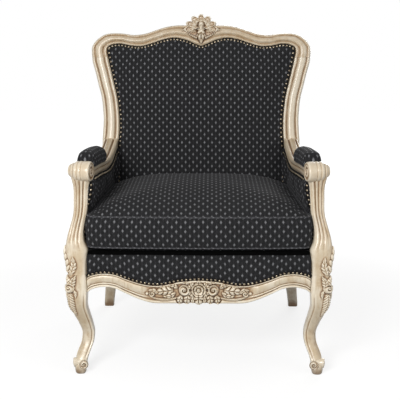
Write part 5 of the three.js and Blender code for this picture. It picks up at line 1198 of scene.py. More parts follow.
def charcoal_cloth(name, dark, light, lozenge_tint):
    """Ribbed charcoal cloth with grey lozenges that stand a thread's height above it. The ground is a little
    paler in the columns of the lozenges, where the weave floats over more threads."""
    finish = Finish(name, Sheen_Weight=0.03, Sheen_Roughness=0.4, Specular_IOR_Level=0.22)
    finish.set(Sheen_Tint=(0.8, 0.8, 0.84, 1))
    map_place = finish.cloth_place()
    parts = finish.coordinates(map_place)
    u, v = parts[0], parts[1]
    nearest = finish.math("MINIMUM", lozenge_share(finish, u, v, 0.0), lozenge_share(finish, u, v, 0.5))
    frayed = finish.noise(map_place, (520, 520, 1), 2.0)
    nearest = finish.times_plus(frayed, 0.7, finish.plus(nearest, -0.35))
    lozenge = finish.ramp(nearest, 1.5, 0.5)
    ribs, weft = waves(finish, u, RIB), waves(finish, v, RIB * 0.8)
    column = finish.ramp(waves(finish, u, REPEAT_ACROSS / 2, 0.5 * math.pi), 0.45, 1.0)
    slub = finish.noise(map_place, (330, 130, 1), 3.0, 0.6)
    fleck = finish.noise(map_place, (760, 420, 1), 2.0)
    cloudy = finish.noise(map_place, 14.0, 3.0)
    share = finish.times_plus(slub, 0.75, finish.times(fleck, 0.55))
    share = finish.times_plus(column, 0.08, share)
    ground = finish.blend(finish.ramp(share, 0.46, 0.98), dark, light)
    ground = finish.blend(finish.times(weft, 0.35), ground, dark)
    grey = finish.blend(finish.times(ribs, 0.4), lozenge_tint, light)
    cover = finish.times(lozenge, finish.ramp(fleck, 0.25, 0.62, 0.45, 1.0))
    cover = finish.times(cover, finish.ramp(cloudy, 0.25, 0.6, 0.75, 1.0))
    colour = finish.blend(cover, ground, grey)
    height = finish.plus(finish.times(ribs, 0.45), finish.times(weft, 0.3))
    height = finish.plus(height, finish.times(lozenge, 0.8))
    rough = finish.times_plus(lozenge, -0.4, finish.ramp(slub, 0.2, 0.8, 0.8, 0.98))
    return finish.finished(colour, rough, height, 0.5, 0.0004)


CLOTH = charcoal_cloth("charcoal_jacquard", tint(12, 12, 13), tint(54, 54, 56), tint(138, 139, 142))
# A paler copy of the same jacquard for the piping: a painted highlight along its round cord.
HIGHLIT_PIPING_CLOTH = charcoal_cloth("charcoal_piping_painted_highlight", tint(44, 44, 46), tint(92, 92, 95), tint(120, 120, 123))

# %% [markdown]
# ## Padded panels
# Real panels are built up from webbing, hessian and stuffing, and the cover is pulled tight over them and
# held at its edges. So each starts as a sheet in its frame, and a cloth simulation then blows the cover up a
# little while its edges stay pinned, which rounds it and leaves it slack near the pins as real covers are.
# Inflating a plain box would lose the edges and the cloth's map.


# %% Sheets between four edges, and the swell of the cloth
def coons(bottom, top, left, right):
    """A grid between four curves: each point is the sum of the two straight blends between opposite curves,
    less the blend of the four corners."""
    u = np.linspace(0, 1, len(bottom))[None, :, None]
    v = np.linspace(0, 1, len(left))[:, None, None]
    corners = mix(mix(bottom[0], bottom[-1], u), mix(top[0], top[-1], u), v)
    return mix(bottom[None], top[None], v) + mix(left[:, None], right[:, None], u) - corners


def lengths_along(grid, axis):
    """The way along each row (axis 1) or column (axis 0), from its start, in mm."""
    steps = np.linalg.norm(np.diff(grid, axis=axis), axis=-1)
    pad = [(0, 0), (0, 0)]
    pad[axis] = (1, 0)
    return np.cumsum(np.pad(steps, pad), axis=axis)


def levelled(values, passes):
    """A field averaged with its neighbours inside a grid, its rim kept."""
    values = values.copy()
    for _ in range(passes):
        around = values[:-2, 1:-1] + values[2:, 1:-1] + values[1:-1, :-2] + values[1:-1, 2:]
        values[1:-1, 1:-1] = 0.25 * around
    return values


def rim_of(shape, rows=1, columns=1):
    """True at a grid's rim, some rows and columns wide."""
    rim = np.ones(shape, bool)
    rim[rows:-rows, columns:-columns] = False
    return rim


def held_plate(rim):
    """Which points of a plate stay in place: its front's rim and all of its back."""
    return np.concatenate([rim, np.ones_like(rim)], axis=1).reshape(-1)


def ring_of(grid):
    """A grid's rim as one ring, anticlockwise from its first corner."""
    return np.concatenate([grid[0, :-1], grid[:-1, -1], grid[-1, :0:-1], grid[:0:-1, 0]])


def inward_share(off):
    """How far in each point of a grid lies: 1 less its distance from the middle, as a share of the rim's
    distance on the same ray."""
    rim = ring_of(off)
    turn, reach = np.arctan2(rim[:, 1], rim[:, 0]), np.hypot(rim[:, 0], rim[:, 1])
    order = np.argsort(turn)
    found = np.interp(np.arctan2(off[..., 1], off[..., 0]), turn[order], reach[order], period=2 * math.pi)
    return np.clip(1 - np.hypot(off[..., 0], off[..., 1]) / found, 0, 1)


# Fill, pressure, and the most in mm that a point of the cover may move.
SWELLS = {
    "back": (0.75, 1.2, 7), "arm": (0.7, 0.9, 5), "arm_pad": (0.8, 1.0, 4), "border": (0.7, 0.8, 3),
    "cushion": (0.7, 1.6, 4),
}
SIMULATED_FRAMES = 20
CLOTH_SETTINGS = {
    "quality": 6, "mass": 0.25, "tension_stiffness": 12, "compression_stiffness": 12, "shear_stiffness": 6,
    "bending_stiffness": 0.4, "air_damping": 4, "use_pressure": True, "shrink_min": -0.015,
}
SWELLING = []


def pad_out(obj, kind, pinned):
    """Notes how a padded piece's cover is to swell, and groups the points of it that stay."""
    fill, pressure, most = SWELLS[kind]
    group = obj.vertex_groups.new(name="held")
    group.add(np.flatnonzero(pinned).tolist(), 1.0, "REPLACE")
    SWELLING.append((obj, pressure, most * MM))


def positions(mesh):
    """A mesh's points as rows."""
    found = np.empty(len(mesh.vertices) * 3)
    mesh.vertices.foreach_get("co", found)
    return found.reshape(-1, 3)


def swell_covers():
    """Runs every cover's cloth together. A point moves at most its cap: the move is shortened by the
    hyperbolic tangent of its share of the cap."""
    for obj, pressure, _ in SWELLING:
        cloth = obj.modifiers.new("cover", "CLOTH").settings
        for key, value in CLOTH_SETTINGS.items():
            setattr(cloth, key, value)
        cloth.uniform_pressure_force = pressure
        cloth.vertex_group_mass = "held"
        cloth.effector_weights.gravity = 0
    scene = bpy.context.scene
    for number in range(1, SIMULATED_FRAMES + 1):
        scene.frame_set(number)
    ready = bpy.context.evaluated_depsgraph_get()
    moved = [positions(obj.evaluated_get(ready).data) for obj, _, _ in SWELLING]
    for (obj, _, most), after in zip(SWELLING, moved):
        obj.modifiers.remove(obj.modifiers["cover"])
        before = positions(obj.data)
        move = after - before
        size = np.maximum(np.linalg.norm(move, axis=1), 1e-9)[:, None]
        obj.data.vertices.foreach_set("co", (before + move * most * np.tanh(size / most) / size).ravel())
        obj.data.update()
        print(f"{obj.name}: cover moved {size.max() / MM:.1f} mm at most, kept to {most / MM:.0f}")
    scene.frame_set(1)


# %% [markdown]
# ## Inside back
# The back panel fills the frame's opening and swells out of it, most at the small of the back. Its sheet lies
# between the sill, the two stiles and the crest's wavy inner edge.

# %% Inside and outside back
PAD_BACK, PAD_EDGE, PAD_BULGE, OUTSIDE_BACK_THICKNESS = 14.0, 5.0, 38.0, 6.0
STAY_RAIL_BOTTOM_UP, MIDDLE_UP, OUTSIDE_BACK_FULLNESS = -46.96, 241.9, 3.5
BACK_GRID, OUTSIDE_BACK_GRID, CREST_CORNER = 92, 60, 18
# Share of the way in from the edge, share of the bulge.
back_pad_at = smooth([
    (0, 0), (0.012, 0.1), (0.05, 0.3), (0.14, 0.56), (0.3, 0.81), (0.52, 0.95), (0.78, 1), (1, 1),
])


def opening(bottom_up, inset):
    """The left half of the frame's opening in its own plane, from the sill's corner to the crest's middle."""
    up = np.linspace(bottom_up, CREST_JOINT, 160)
    _, inner = stile_edges(up)
    _, _, inner_x, inner_up = crest_at(np.linspace(0, 1, 160)[1:])
    crest_x = -inner_x * FRAME_HALF_WIDTH + inset * (inner_x > 0.02)
    return place(inner + inset, up), place(crest_x, inner_up * FRAME_TOP - inset)


def opening_sheet(bottom_up, inset, columns, rows):
    """A grid over the opening, as (across, up): the crest's corner is where its inner edge turns level."""
    stile, crest = opening(bottom_up, inset)
    left = even(np.concatenate([stile, crest[:CREST_CORNER]]), rows)
    top_half = crest[CREST_CORNER - 1 :]
    top = even(np.concatenate([top_half, (top_half * (-1, 1))[-2::-1]]), columns)
    bottom = np.linspace(left[0], left[0] * (-1, 1), columns)
    return coons(bottom, top, left, left * (-1, 1))


def inside_back():
    """A sheet that rises from the frame by its share of the way in, a little less towards the crest."""
    flat = opening_sheet(STAY_RAIL_BOTTOM_UP, GAP, BACK_GRID, BACK_GRID)
    (bulge,) = back_pad_at(inward_share(flat - (0, MIDDLE_UP)))
    bulge = levelled(bulge, 14)
    full = mix(1, 0.72, ease(flat[..., 1], MIDDLE_UP, FRAME_TOP))
    out = np.where(rim_of(bulge.shape), PAD_EDGE / 2, PAD_EDGE + bulge * PAD_BULGE * full)
    front = back_place(flat[..., 0], flat[..., 1], out)
    return plate(front, back_place(flat[..., 0], flat[..., 1], -PAD_BACK), flat), front


back_skin, back_front = inside_back()
back_piece = add_piece("inside_back_cover", [back_skin], CLOTH, ["inside_back"])
pad_out(back_piece, "back", held_plate(rim_of((BACK_GRID, BACK_GRID), 2, 2)))


def outside_back():
    """A flat sheet in the back of the frame, a little full in its middle."""
    flat = opening_sheet(STILE_FOOT_UP, GAP, OUTSIDE_BACK_GRID, OUTSIDE_BACK_GRID)
    full = OUTSIDE_BACK_FULLNESS * ease(inward_share(flat - (0, MIDDLE_UP)), 0, 0.5)
    face = back_place(flat[..., 0], flat[..., 1], -FRAME_THICKNESS - full)
    inner = back_place(flat[..., 0], flat[..., 1], -FRAME_THICKNESS + OUTSIDE_BACK_THICKNESS)
    return plate(face, inner, flat), face


outside_back_skin, outside_back_face = outside_back()
add_piece("outside_back_cover", [outside_back_skin], CLOTH, ["outside_back"])

# %% [markdown]
# ## Arms
# The inside arm is stuffed and rolls over under the arm rail. The outside arm is a tight thin panel from the
# side rail's rebate to the arm rail. The arm pad is a short round bolster on top of the rail.

# %% Arms
COVER_TOP, ARM_SEAT_FRONT_X, ARM_SEAT_REAR_X, ARM_ROUGH_TOP = 340.6, 318.5, 287.9, 572.0
ARM_PAD_START, ARM_PAD_LENGTH, ARM_PAD_WIDTH, ARM_PAD_CROWN = 88.0, 262.0, 60.0, 48.0
ARM_WRAP, ARM_PAD_ROUND, OUTSIDE_ARM_THICKNESS = 14.0, 45, 5.0
# Share of the height, share of the way from the seat line to the arm rail's inner edge.
inside_arm_at = smooth([
    (0, 0), (0.3, 0), (0.56, 0), (0.7, 0.35), (0.82, 0.8), (0.92, 1), (0.98, 0.9), (1, 0.55),
])
# Way round the pad from its outer to its inner foot: share of the width, share of the crown.
arm_pad_at = smooth([
    (0, -0.38, 0), (0.08, -0.47, 0.1), (0.19, -0.5, 0.3), (0.31, -0.46, 0.56), (0.4, -0.36, 0.79),
    (0.46, -0.2, 0.95), (0.5, 0, 1),
])
# Share of the length, share of the section.
arm_pad_end_at = smooth([
    (0, 0.56), (0.012, 0.7), (0.035, 0.85), (0.08, 0.95), (0.15, 0.99), (0.25, 1), (0.5, 1),
])


def arm_share(d):
    """Share of the arm rail's length at a depth."""
    return (d - ARM_FRONT[1]) / (ARM_REAR[1] - ARM_FRONT[1])


def arm_underside(d):
    """Middle of the arm rail's underside at a depth, less the gap: across and up."""
    x, _, top_z = arm_top(arm_share(d))
    return x, top_z - ARM_THICKNESS - GAP


def stile_face_d(z):
    """Depth of the back frame's face at a height."""
    return PIVOT_D + (z - PIVOT_Z) * math.tan(RAKE)


def inside_arm():
    """A sheet whose rows run from the post to the stile, with the roll's table read up each column."""
    up, along = steps_down(46), crowded(90, 0.6)[None]
    rough_z = mix(COVER_TOP, ARM_ROUGH_TOP, up)
    d = mix(ARM_FRONT[1], stile_face_d(rough_z) - 1.0, along)
    top_x, top_z = arm_underside(d)
    (inward,) = inside_arm_at(up)
    seat_x = -mix(ARM_SEAT_FRONT_X, ARM_SEAT_REAR_X, arm_share(d))
    z = mix(COVER_TOP, top_z, up)
    wrap = ARM_WRAP * ease(d, ARM_FRONT[1] + ARM_WRAP, ARM_FRONT[1])
    tuck = ease(d, d[:, -1:] - 34.0, d[:, -1:])
    welt = 9.0 * ease(z, 478.0, 505.0) * ease(z, 575.0, 555.0) * bump(d - ARM_FRONT[1] - 6.0, 12.0)
    inner_x = mix(seat_x, top_x + ARM_WIDTH / 2, inward) + welt
    front = place(inner_x - wrap**2 / ARM_WRAP + 12.0 * tuck, d - wrap, z)
    back = place(mix(side_outer_x(d) + SIDE_RAIL_THICKNESS / 2, top_x - ARM_WIDTH / 4, up), d, z)
    return plate(front, back, place(lengths_along(front, 1), lengths_along(front, 0) + COVER_TOP)), front


arm_skin, arm_front = inside_arm()
for arm_piece in add_pair("inside_arm", [arm_skin], CLOTH):
    pad_out(arm_piece, "arm", held_plate(rim_of(arm_front.shape[:2], 2, 2)))


def outside_arm():
    """A thin sheet whose foot stands up in the side rail's rebate and whose top meets the arm rail."""
    up, along = steps_down(34), steps_across(60)
    rough_z = mix(SIDE_SHOW_TOP, ARM_ROUGH_TOP, up)
    d = mix(82.0, stile_face_d(rough_z) + 6.0, along)
    top_x, top_z = arm_underside(d)
    z = mix(SIDE_SHOW_TOP + GAP, top_z, up)
    foot_x = side_outer_x(d) + REBATE - GAP
    x = mix(foot_x, top_x - ARM_WIDTH / 3, np.clip((z - RAIL_TOP) / (top_z - RAIL_TOP), 0, 1))
    full = 2.0 * np.sin(math.pi * up) * np.sin(math.pi * along)
    face = place(x - OUTSIDE_ARM_THICKNESS - full, d, z)
    return plate(face, place(x, d, z), place(d, z)), face


outside_arm_skin, outside_arm_face = outside_arm()
add_pair("outside_arm", [outside_arm_skin], CLOTH)


def arm_pad():
    """Rings over the arm rail: half of the section is a table, the other half its mirror image, and the
    section shrinks towards both ends."""
    along = steps_through((0, 0.12, 0.88, 1), (15, 47, 15))[:, None]
    round_share = steps_across(ARM_PAD_ROUND)
    half, up = arm_pad_at(np.minimum(round_share, 1 - round_share))
    across = np.where(round_share > 0.5, -half, half)
    (full,) = arm_pad_end_at(np.minimum(along, 1 - along))
    d = ARM_PAD_START + along * ARM_PAD_LENGTH
    x, _, z = arm_top(arm_share(d))
    over = place(x + across * full * ARM_PAD_WIDTH, d, z + up * full * ARM_PAD_CROWN)
    foot = place(x + across * full * ARM_PAD_WIDTH * 0.8, d, z + 0.4)
    crown = [ARM_PAD_ROUND // 2]
    crown_way, round_way = lengths_along(over, 0)[:, crown], lengths_along(over, 1)
    spots = place(round_way - round_way[:, crown], crown_way)
    return plate(over, foot, spots), held_plate(rim_of(over.shape[:2], 2, 3))


pad_skin, pad_held = arm_pad()
for pad_piece in add_pair("arm_pad", [pad_skin], CLOTH):
    pad_out(pad_piece, "arm_pad", pad_held)

# %% [markdown]
# ## Front border and seat cushion
# The border is the covered band between the show wood and the deck. On it lies a loose boxed cushion: a top
# and a bottom panel, a boxing between them, and piping in both seams. The seams draw in between the bulges.

# %% Front border
# The last number is the foot of the near-black strip that paints the shadow under the cushion.
DECK_TOP, BORDER_STUFFING, BORDER_REAR, SHADOW_STRIP_BOTTOM = 369.9, 6.0, 41.7, 358.0
BORDER_ROWS, BORDER_CLOTH_START = 24, 280.0
# Share of the height, share of the swell: full at two fifths, then rolling back under the cushion.
border_at = smooth([
    (0, 0.1), (0.05, 0.5), (0.15, 0.82), (0.28, 0.97), (0.42, 1), (0.54, 0.9), (0.64, 0.62), (0.73, 0.12),
    (0.81, -0.5), (0.89, -1.1), (1, -1.6),
])


def front_border():
    """Rings across the chair: a low roll from the show wood's top edge to the deck, and a flat back."""
    x = steps_down(180, -FRONT_RAIL_HALF, FRONT_RAIL_HALF)
    top, _, face = front_rail_edges(x)
    share = steps_across(BORDER_ROWS)
    back = face + REBATE - GAP
    z = mix(top + GAP, DECK_TOP, share)
    (swell,) = border_at(share)
    roll = place(x, back - (REBATE / 2 + BORDER_STUFFING) * swell, z)
    corners = [(BORDER_REAR, DECK_TOP), (BORDER_REAR, RAIL_TOP + GAP), (back, RAIL_TOP + GAP)]
    grid = np.concatenate([roll, *(place(x, *corner) for corner in corners)], axis=1)
    way = lengths_along(grid, 1)
    way = np.concatenate([way, way[:, -1:] + 20], axis=1)
    spots = place(x, way + BORDER_CLOTH_START)
    held = np.ones(grid.shape[:2], bool)
    held[:, : BORDER_ROWS] = rim_of(z.shape, 2, 2) | (z > SHADOW_STRIP_BOTTOM - 5)
    return tube(grid, spots), held.reshape(-1), roll


def painted_shadow_strip():
    """A near-black strip over the border's top rows, a painted shadow under the cushion's front, shaped as the
    deck lining turned down over the roll: a thin plate that lies a little off the roll's top rows."""
    x = steps_down(120, -FRONT_RAIL_HALF, FRONT_RAIL_HALF)
    top, _, face = front_rail_edges(x)
    z = steps_across(9, SHADOW_STRIP_BOTTOM, DECK_TOP)
    (swell,) = border_at((z - top - GAP) / (DECK_TOP - top - GAP))
    d = face + REBATE - GAP - (REBATE / 2 + BORDER_STUFFING) * swell
    return plate(place(x, d - 0.8, z + 0.5), place(x, d + 0.4, z - 0.3))


border_skin, border_held, border_roll = front_border()
border = add_piece("front_border_cover", [border_skin], CLOTH, ["front_border"])
pad_out(border, "border", border_held)

# %% Seat cushion's outline
CUSHION_EAR, CUSHION_SEAM_RISE, BOXING_HEIGHT, CUSHION_CROWN, CUSHION_PULL = 6.5, 11.0, 90.0, 60.0, 5.5
CUSHION_HALF_WIDTH = ARM_SEAT_FRONT_X + CUSHION_EAR
CUSHION_REAR = stile_face_d(DECK_TOP) - PAD_EDGE - PAD_BULGE / 2
CUSHION_DEPTH = CUSHION_REAR - CUSHION_FRONT
# Front middle to the arm: share of the width over the ears, share of the way back to the inside arm.
CUSHION_EAR_SHARES = [
    (0, 0), (0.35, 0.018), (0.7, 0.075), (0.88, 0.14), (0.96, 0.22), (0.99, 0.35), (1, 0.55), (0.99, 0.78),
]
# On to the rear middle: share of the width between the arms, share of the way to the rear.
CUSHION_SIDE_SHARES = [
    (0.994, 0), (0.994, 0.14), (0.989, 0.47), (0.984, 0.79), (0.971, 0.905), (0.932, 0.96), (0.855, 0.986),
    (0.688, 0.998), (0.333, 1), (0, 1),
]


def cushion_outline():
    """The left half of the cushion's plan, front middle to rear middle, rounded by a curve through the
    tables' points."""
    ear = np.array(CUSHION_EAR_SHARES)
    ear = place(-ear[:, 0] * CUSHION_HALF_WIDTH, mix(CUSHION_FRONT, ARM_FRONT[1], ear[:, 1]))
    side = np.array(CUSHION_SIDE_SHARES)
    d = mix(ARM_FRONT[1], CUSHION_REAR, side[:, 1])
    half = mix(ARM_SEAT_FRONT_X, ARM_SEAT_REAR_X, arm_share(d))
    knots = np.concatenate([ear, place(-side[:, 0] * half, d)])
    way = way_along(knots)
    return smooth(np.column_stack([way, knots])), way


CUSHION_SIDE_COUNT, CUSHION_FRONT_COUNT, EAR_KNOT, REAR_KNOT = 72, 84, 4, 13


def cushion_rim():
    """The whole outline as four edges of a sheet: front, rear, left and right, with the corners at the ears
    and at the rear corners."""
    read, way = cushion_outline()
    ends = (0, way[EAR_KNOT], way[REAR_KNOT], way[-1])
    front, side, rear = (
        np.stack(read(np.linspace(low, high, count)), axis=1)
        for low, high, count in zip(ends, ends[1:], (400, 600, 400))
    )
    front = even(np.concatenate([front[::-1], (front * (-1, 1))[1:]]), CUSHION_FRONT_COUNT)
    rear = even(np.concatenate([rear, (rear * (-1, 1))[-2::-1]]), CUSHION_FRONT_COUNT)
    side = even(side, CUSHION_SIDE_COUNT)
    return front, rear, side, side * (-1, 1)


# %% Seat cushion
CUSHION_MIDDLE = np.array([0.0, CUSHION_FRONT + CUSHION_DEPTH / 2])
CUSHION_HALVES = np.array([CUSHION_HALF_WIDTH, CUSHION_DEPTH / 2])
CUSHION_CLOTH_START, PIPING_RADIUS = (0, 466.0), 2.5
# Share of the way in from the seam, share of the crown.
crown_at = smooth([(0, 0), (0.035, 0.12), (0.1, 0.28), (0.22, 0.5), (0.42, 0.76), (0.66, 0.94), (1, 1)])


def drawn_in(flat, pull):
    """Places of the plan moved towards its middle, by a share of the seams' pull."""
    return CUSHION_MIDDLE + (flat - CUSHION_MIDDLE) * (1 - pull * CUSHION_PULL / CUSHION_HALVES)


def cushion_skins():
    """Top and bottom are sheets over the plan, drawn in at the seams. The top rises to its crown by a table
    of the way in from the rim. The boxing is a band of rings that bulges between the seams by a sine."""
    flat = coons(*cushion_rim())
    seam = drawn_in(flat, 1)
    inward = inward_share((flat - CUSHION_MIDDLE) / CUSHION_HALVES)
    crown = levelled(crown_at(inward)[0], 16)
    low = DECK_TOP + GAP
    seam_z = low + CUSHION_SEAM_RISE
    top = place(*np.moveaxis(seam, -1, 0), seam_z + BOXING_HEIGHT + CUSHION_CROWN * crown)
    bottom = place(*np.moveaxis(seam, -1, 0), seam_z - CUSHION_SEAM_RISE * ease(inward, 0, 0.16))
    share = steps_down(14)
    band = drawn_in(ring_of(flat), (1 - np.sin(math.pi * share) ** 0.5)[..., None])
    boxing = place(band[..., 0], band[..., 1], seam_z + share * BOXING_HEIGHT)
    way = lengths_along(np.concatenate([boxing, boxing[:, :1]], axis=1), 1)[0]
    spots = place(way[None] - 0.5 * way[CUSHION_FRONT_COUNT - 1], seam_z + share * BOXING_HEIGHT)
    top_skin, bottom_skin = sheet(top, spots=seam + CUSHION_CLOTH_START), sheet(bottom, spots=seam)
    return (top_skin, sheet(boxing, True, spots), bottom_skin), (ring_of(top), ring_of(bottom))


def piping(ring, radius, sides=10):
    """A round cord along a closed seam: circles that stand square to the seam and to the vertical."""
    along = np.roll(ring, -1, axis=0) - np.roll(ring, 1, axis=0)
    along /= np.linalg.norm(along, axis=1)[:, None]
    out = np.cross(along, (0, 0, 1.0))
    out /= np.linalg.norm(out, axis=1)[:, None]
    turn = full_turn(sides)[:, None]
    grid = ring[:, None] + radius * (np.cos(turn) * out[:, None] + np.sin(turn) * (0, 0, 1.0))
    grid = np.concatenate([grid, grid[:1]])
    way = lengths_along(grid, 0)[:, :1]
    round_way = np.arange(sides + 1) * 2 * math.pi * radius / sides
    return sheet(grid, True, place(way, round_way))


(top_skin, boxing_skin, bottom_skin), seams = cushion_skins()
cushion_skin = welded([top_skin, boxing_skin, turned_over(bottom_skin)])
cushion = add_piece("seat_cushion_cover", [cushion_skin], CLOTH, ["seat_cushion"], "cushion")
cushion_z = positions(cushion.data)[:, 2] / MM
on_seam = np.isclose(cushion_z[:, None], [seam[0, 2] for seam in seams], atol=0.01).any(axis=1)
pad_out(cushion, "cushion", on_seam | (cushion_z < DECK_TOP + 2))
pipes = [piping(seam, PIPING_RADIUS) for seam in seams]
# The piping wears the paler copy of the cover cloth, a painted highlight.
add_piece("seat_cushion_piping", pipes, HIGHLIT_PIPING_CLOTH, [], "cushion")
swell_covers()

# %% [markdown]
# ## Brass nails
# Domed nails hold the covers' edges down, close together, just inside the show wood. They could be one nail
# copied by an array along a curve. Here all the nails of a row are worked out at once: the row's line is cut
# into equal steps, and each step gets a small dome that stands square to the cover.


# %% Nail rows
NAIL_RADIUS, NAIL_HEIGHT, NAIL_SIDES = 3.9, 2.7, 10
STILE_PITCH, CREST_PITCH, POST_PITCH, BORDER_PITCH, OUTSIDE_PITCH = 15.2, 11.2, 14.3, 11.9, 12.5
GIMP_HALF_WIDTH, GIMP_HALF_HEIGHT = 6.8, 1.5
# The slope of each ring of a nail's dome, and how deep the ring is sunk.
NAIL_SLOPES, NAIL_SUNK = np.radians([0, 0, 34, 60, 80]), np.array([1.2, 0, 0, 0, 0])
GIMP_SIDES, GIMP_STEP = 10, 1.2


def turned(grid):
    """The same grid with its rows and columns changed over."""
    return np.swapaxes(grid, 0, 1)


def inset_row(grid, inset, toward):
    """The line at a distance inside a grid's first row, along its columns, with the way each point faces:
    half the grid's own normal and half the direction it is given."""
    way = lengths_along(grid, 0)
    toward = np.array(toward, float)
    normal = np.cross(np.gradient(grid, axis=1), np.gradient(grid, axis=0))
    normal /= np.maximum(np.linalg.norm(normal, axis=-1), 1e-9)[..., None]
    normal *= np.sign((normal @ toward).mean())
    row = np.clip((way < inset).sum(axis=0) - 1, 0, len(grid) - 2)
    column = np.arange(grid.shape[1])
    before, after = way[row, column], way[row + 1, column]
    share = ((inset - before) / (after - before))[:, None]
    line = mix(grid[row, column], grid[row + 1, column], share)
    return line, mix(normal[row, column], normal[row + 1, column], share) + toward


def spaced(line, facing, pitch):
    """Places at equal steps along a line, each with the direction it faces."""
    way = way_along(line)
    count = round(way[-1] / pitch)
    at = (np.arange(count) + 0.5) * way[-1] / count
    return read_at(line, way, at), read_at(facing, way, at)


def nail_heads(rows):
    """One skin of many domes. A ring's radius is the cosine of its slope and its height the sine, and the
    first ring is sunk a little into the cloth."""
    spots = np.concatenate([spot for spot, _ in rows])
    facing = np.concatenate([facing for _, facing in rows])
    facing = facing / np.linalg.norm(facing, axis=1)[:, None]
    side = np.cross(facing, np.where(np.abs(facing[:, 2:]) < 0.8, (0, 0, 1.0), (1.0, 0, 0)))
    side /= np.linalg.norm(side, axis=1)[:, None]
    up = np.cross(facing, side)
    turn = full_turn(NAIL_SIDES)[None, None, :, None]
    slope = NAIL_SLOPES[None, :, None, None]
    high = NAIL_HEIGHT * np.sin(slope) - NAIL_SUNK[None, :, None, None]
    flat = side[:, None, None] * np.cos(turn) + up[:, None, None] * np.sin(turn)
    grid = spots[:, None, None] + NAIL_RADIUS * np.cos(slope) * flat + high * facing[:, None, None]
    _, corners, sizes, uv = tube(grid[0])
    step = grid.shape[1] * grid.shape[2]
    corners = (corners[None] + step * np.arange(len(spots))[:, None]).reshape(-1)
    return grid.reshape(-1, 3), corners, np.tile(sizes, len(spots)), np.tile(uv, (len(spots), 1))


def gimp_band(line, facing):
    """A flat braid along a line: a half-round section, wide across the cover and low, carried along it."""
    line = even(line, 3 * len(line))
    facing = read_at(facing, np.linspace(0, 1, len(facing)), np.linspace(0, 1, len(line)))
    along = np.gradient(line, axis=0)
    side = np.cross(along, facing)
    side /= np.linalg.norm(side, axis=1)[:, None]
    out = np.cross(side, along)
    out /= np.linalg.norm(out, axis=1)[:, None]
    out *= np.sign((out * facing).sum(axis=1))[:, None]
    turn = full_turn(GIMP_SIDES)[None, :, None]
    high = GIMP_HALF_HEIGHT * (np.maximum(np.sin(turn), -0.2) - 0.1)
    grid = line[:, None] + GIMP_HALF_WIDTH * np.cos(turn) * side[:, None] + high * out[:, None]
    way = lengths_along(grid, 0)[:, :1]
    round_way = np.arange(GIMP_SIDES + 1) * GIMP_STEP
    return tube(grid, place(round_way, way))


def grained(name, grain, edges, tints, spots, spot_tint, roughs, relief, detail=3.0, uneven=0.5, **uniform):
    """A ground that a noise blends from one tint to another between two edges, under spots of a third tint
    from a second noise: its scale, detail, edges and share. Roughness and relief follow the first noise."""
    finish = Finish(name, **uniform)
    place_there = finish.object_place()
    first = finish.noise(place_there, grain, detail, uneven)
    colour = finish.blend(finish.ramp(first, *edges), *tints)
    if spots:
        scale, spot_detail, low, high, share = spots
        second = finish.ramp(finish.noise(place_there, scale, spot_detail), low, high)
        colour = finish.blend(finish.times(second, share), colour, spot_tint)
    return finish.finished(colour, finish.ramp(first, 0.3, 0.7, *roughs), first, *relief)


def black_gimp():
    """Black braid: narrow slanting cords, from a sine wave over the sum of both ways on its own map."""
    finish = Finish("black_gimp", Specular_IOR_Level=0.15)
    parts = finish.coordinates(finish.cloth_place())
    slant = finish.plus(parts[0], parts[1])
    cords = waves(finish, slant, 0.0016)
    colour = finish.blend(cords, tint(4, 4, 4), tint(18, 17, 17))
    rough = finish.ramp(finish.noise(finish.object_place(), 300.0), 0.3, 0.7, 0.6, 0.85)
    return finish.finished(colour, rough, cords, 0.5, 0.0004)


# Brass that has browned: a warm metal with darker patches.
BRASS = grained(
    "antique_brass", 260.0, (0.38, 0.66), (tint(118, 107, 91), tint(182, 170, 148)),
    (40.0, 2.0, 0.35, 0.65, 0.4), tint(94, 79, 60), (0.4, 0.22), (0.15, 0.0003), Metallic=1.0,
)
GIMP = black_gimp()


def add_nails(name, rows, pitches):
    """The nails of some rows, and the braid that they hold down, as two pieces."""
    spots = [spaced(*row, pitch) for row, pitch in zip(rows, pitches)]
    heads = nail_heads(spots)
    print(f"{name}: {sum(len(spot) for spot, _ in spots)} nails")
    add_piece(name.replace("nails", "gimp"), [gimp_band(*row) for row in rows], GIMP, [])
    add_piece(name, [heads], BRASS, [])


# %% Nails of the back, the border and the arms
def edge_rows(grid, inset, toward):
    """The rows inside a grid's four edges: its first row, its last row, its first column and its last."""
    return [inset_row(edge, inset, toward) for edge in (grid, grid[::-1], turned(grid), turned(grid)[::-1])]


OUT_OF_BACK = np.array([0, -math.cos(RAKE), math.sin(RAKE)])
OUTWARDS, FORWARDS, POST_FACING = (-1, 0, 0), (0, -1, 0), (0.6, -1, 0)
BACK_INSET, BORDER_INSET, POST_INSET, UNDER_RAIL_INSET, OUTSIDE_INSET = 4.8, 5.5, 5.0, 6.5, 6.0
_, crest_row, left_row, right_row = edge_rows(back_front, BACK_INSET, OUT_OF_BACK)
add_nails("inside_back_nails", [left_row, crest_row, right_row], [STILE_PITCH, CREST_PITCH, STILE_PITCH])
add_nails("front_border_nails", [inset_row(turned(border_roll), BORDER_INSET, FORWARDS)], [BORDER_PITCH])
arm_rows = [
    inset_row(turned(arm_front), POST_INSET, POST_FACING),
    inset_row(arm_front[::-1, 12:-6], UNDER_RAIL_INSET, (1, 0, 0)),
    *edge_rows(outside_arm_face, OUTSIDE_INSET, OUTWARDS),
]
for side, sign in (("left", 1), ("right", -1)):
    rows = [(line * (sign, 1, 1), facing * (sign, 1, 1)) for line, facing in arm_rows]
    add_nails(f"arm_nails_{side}", rows, [POST_PITCH] + [OUTSIDE_PITCH] * 5)
rear_rows = edge_rows(outside_back_face, OUTSIDE_INSET, -OUT_OF_BACK)
add_nails("outside_back_nails", rear_rows, [OUTSIDE_PITCH] * 4)

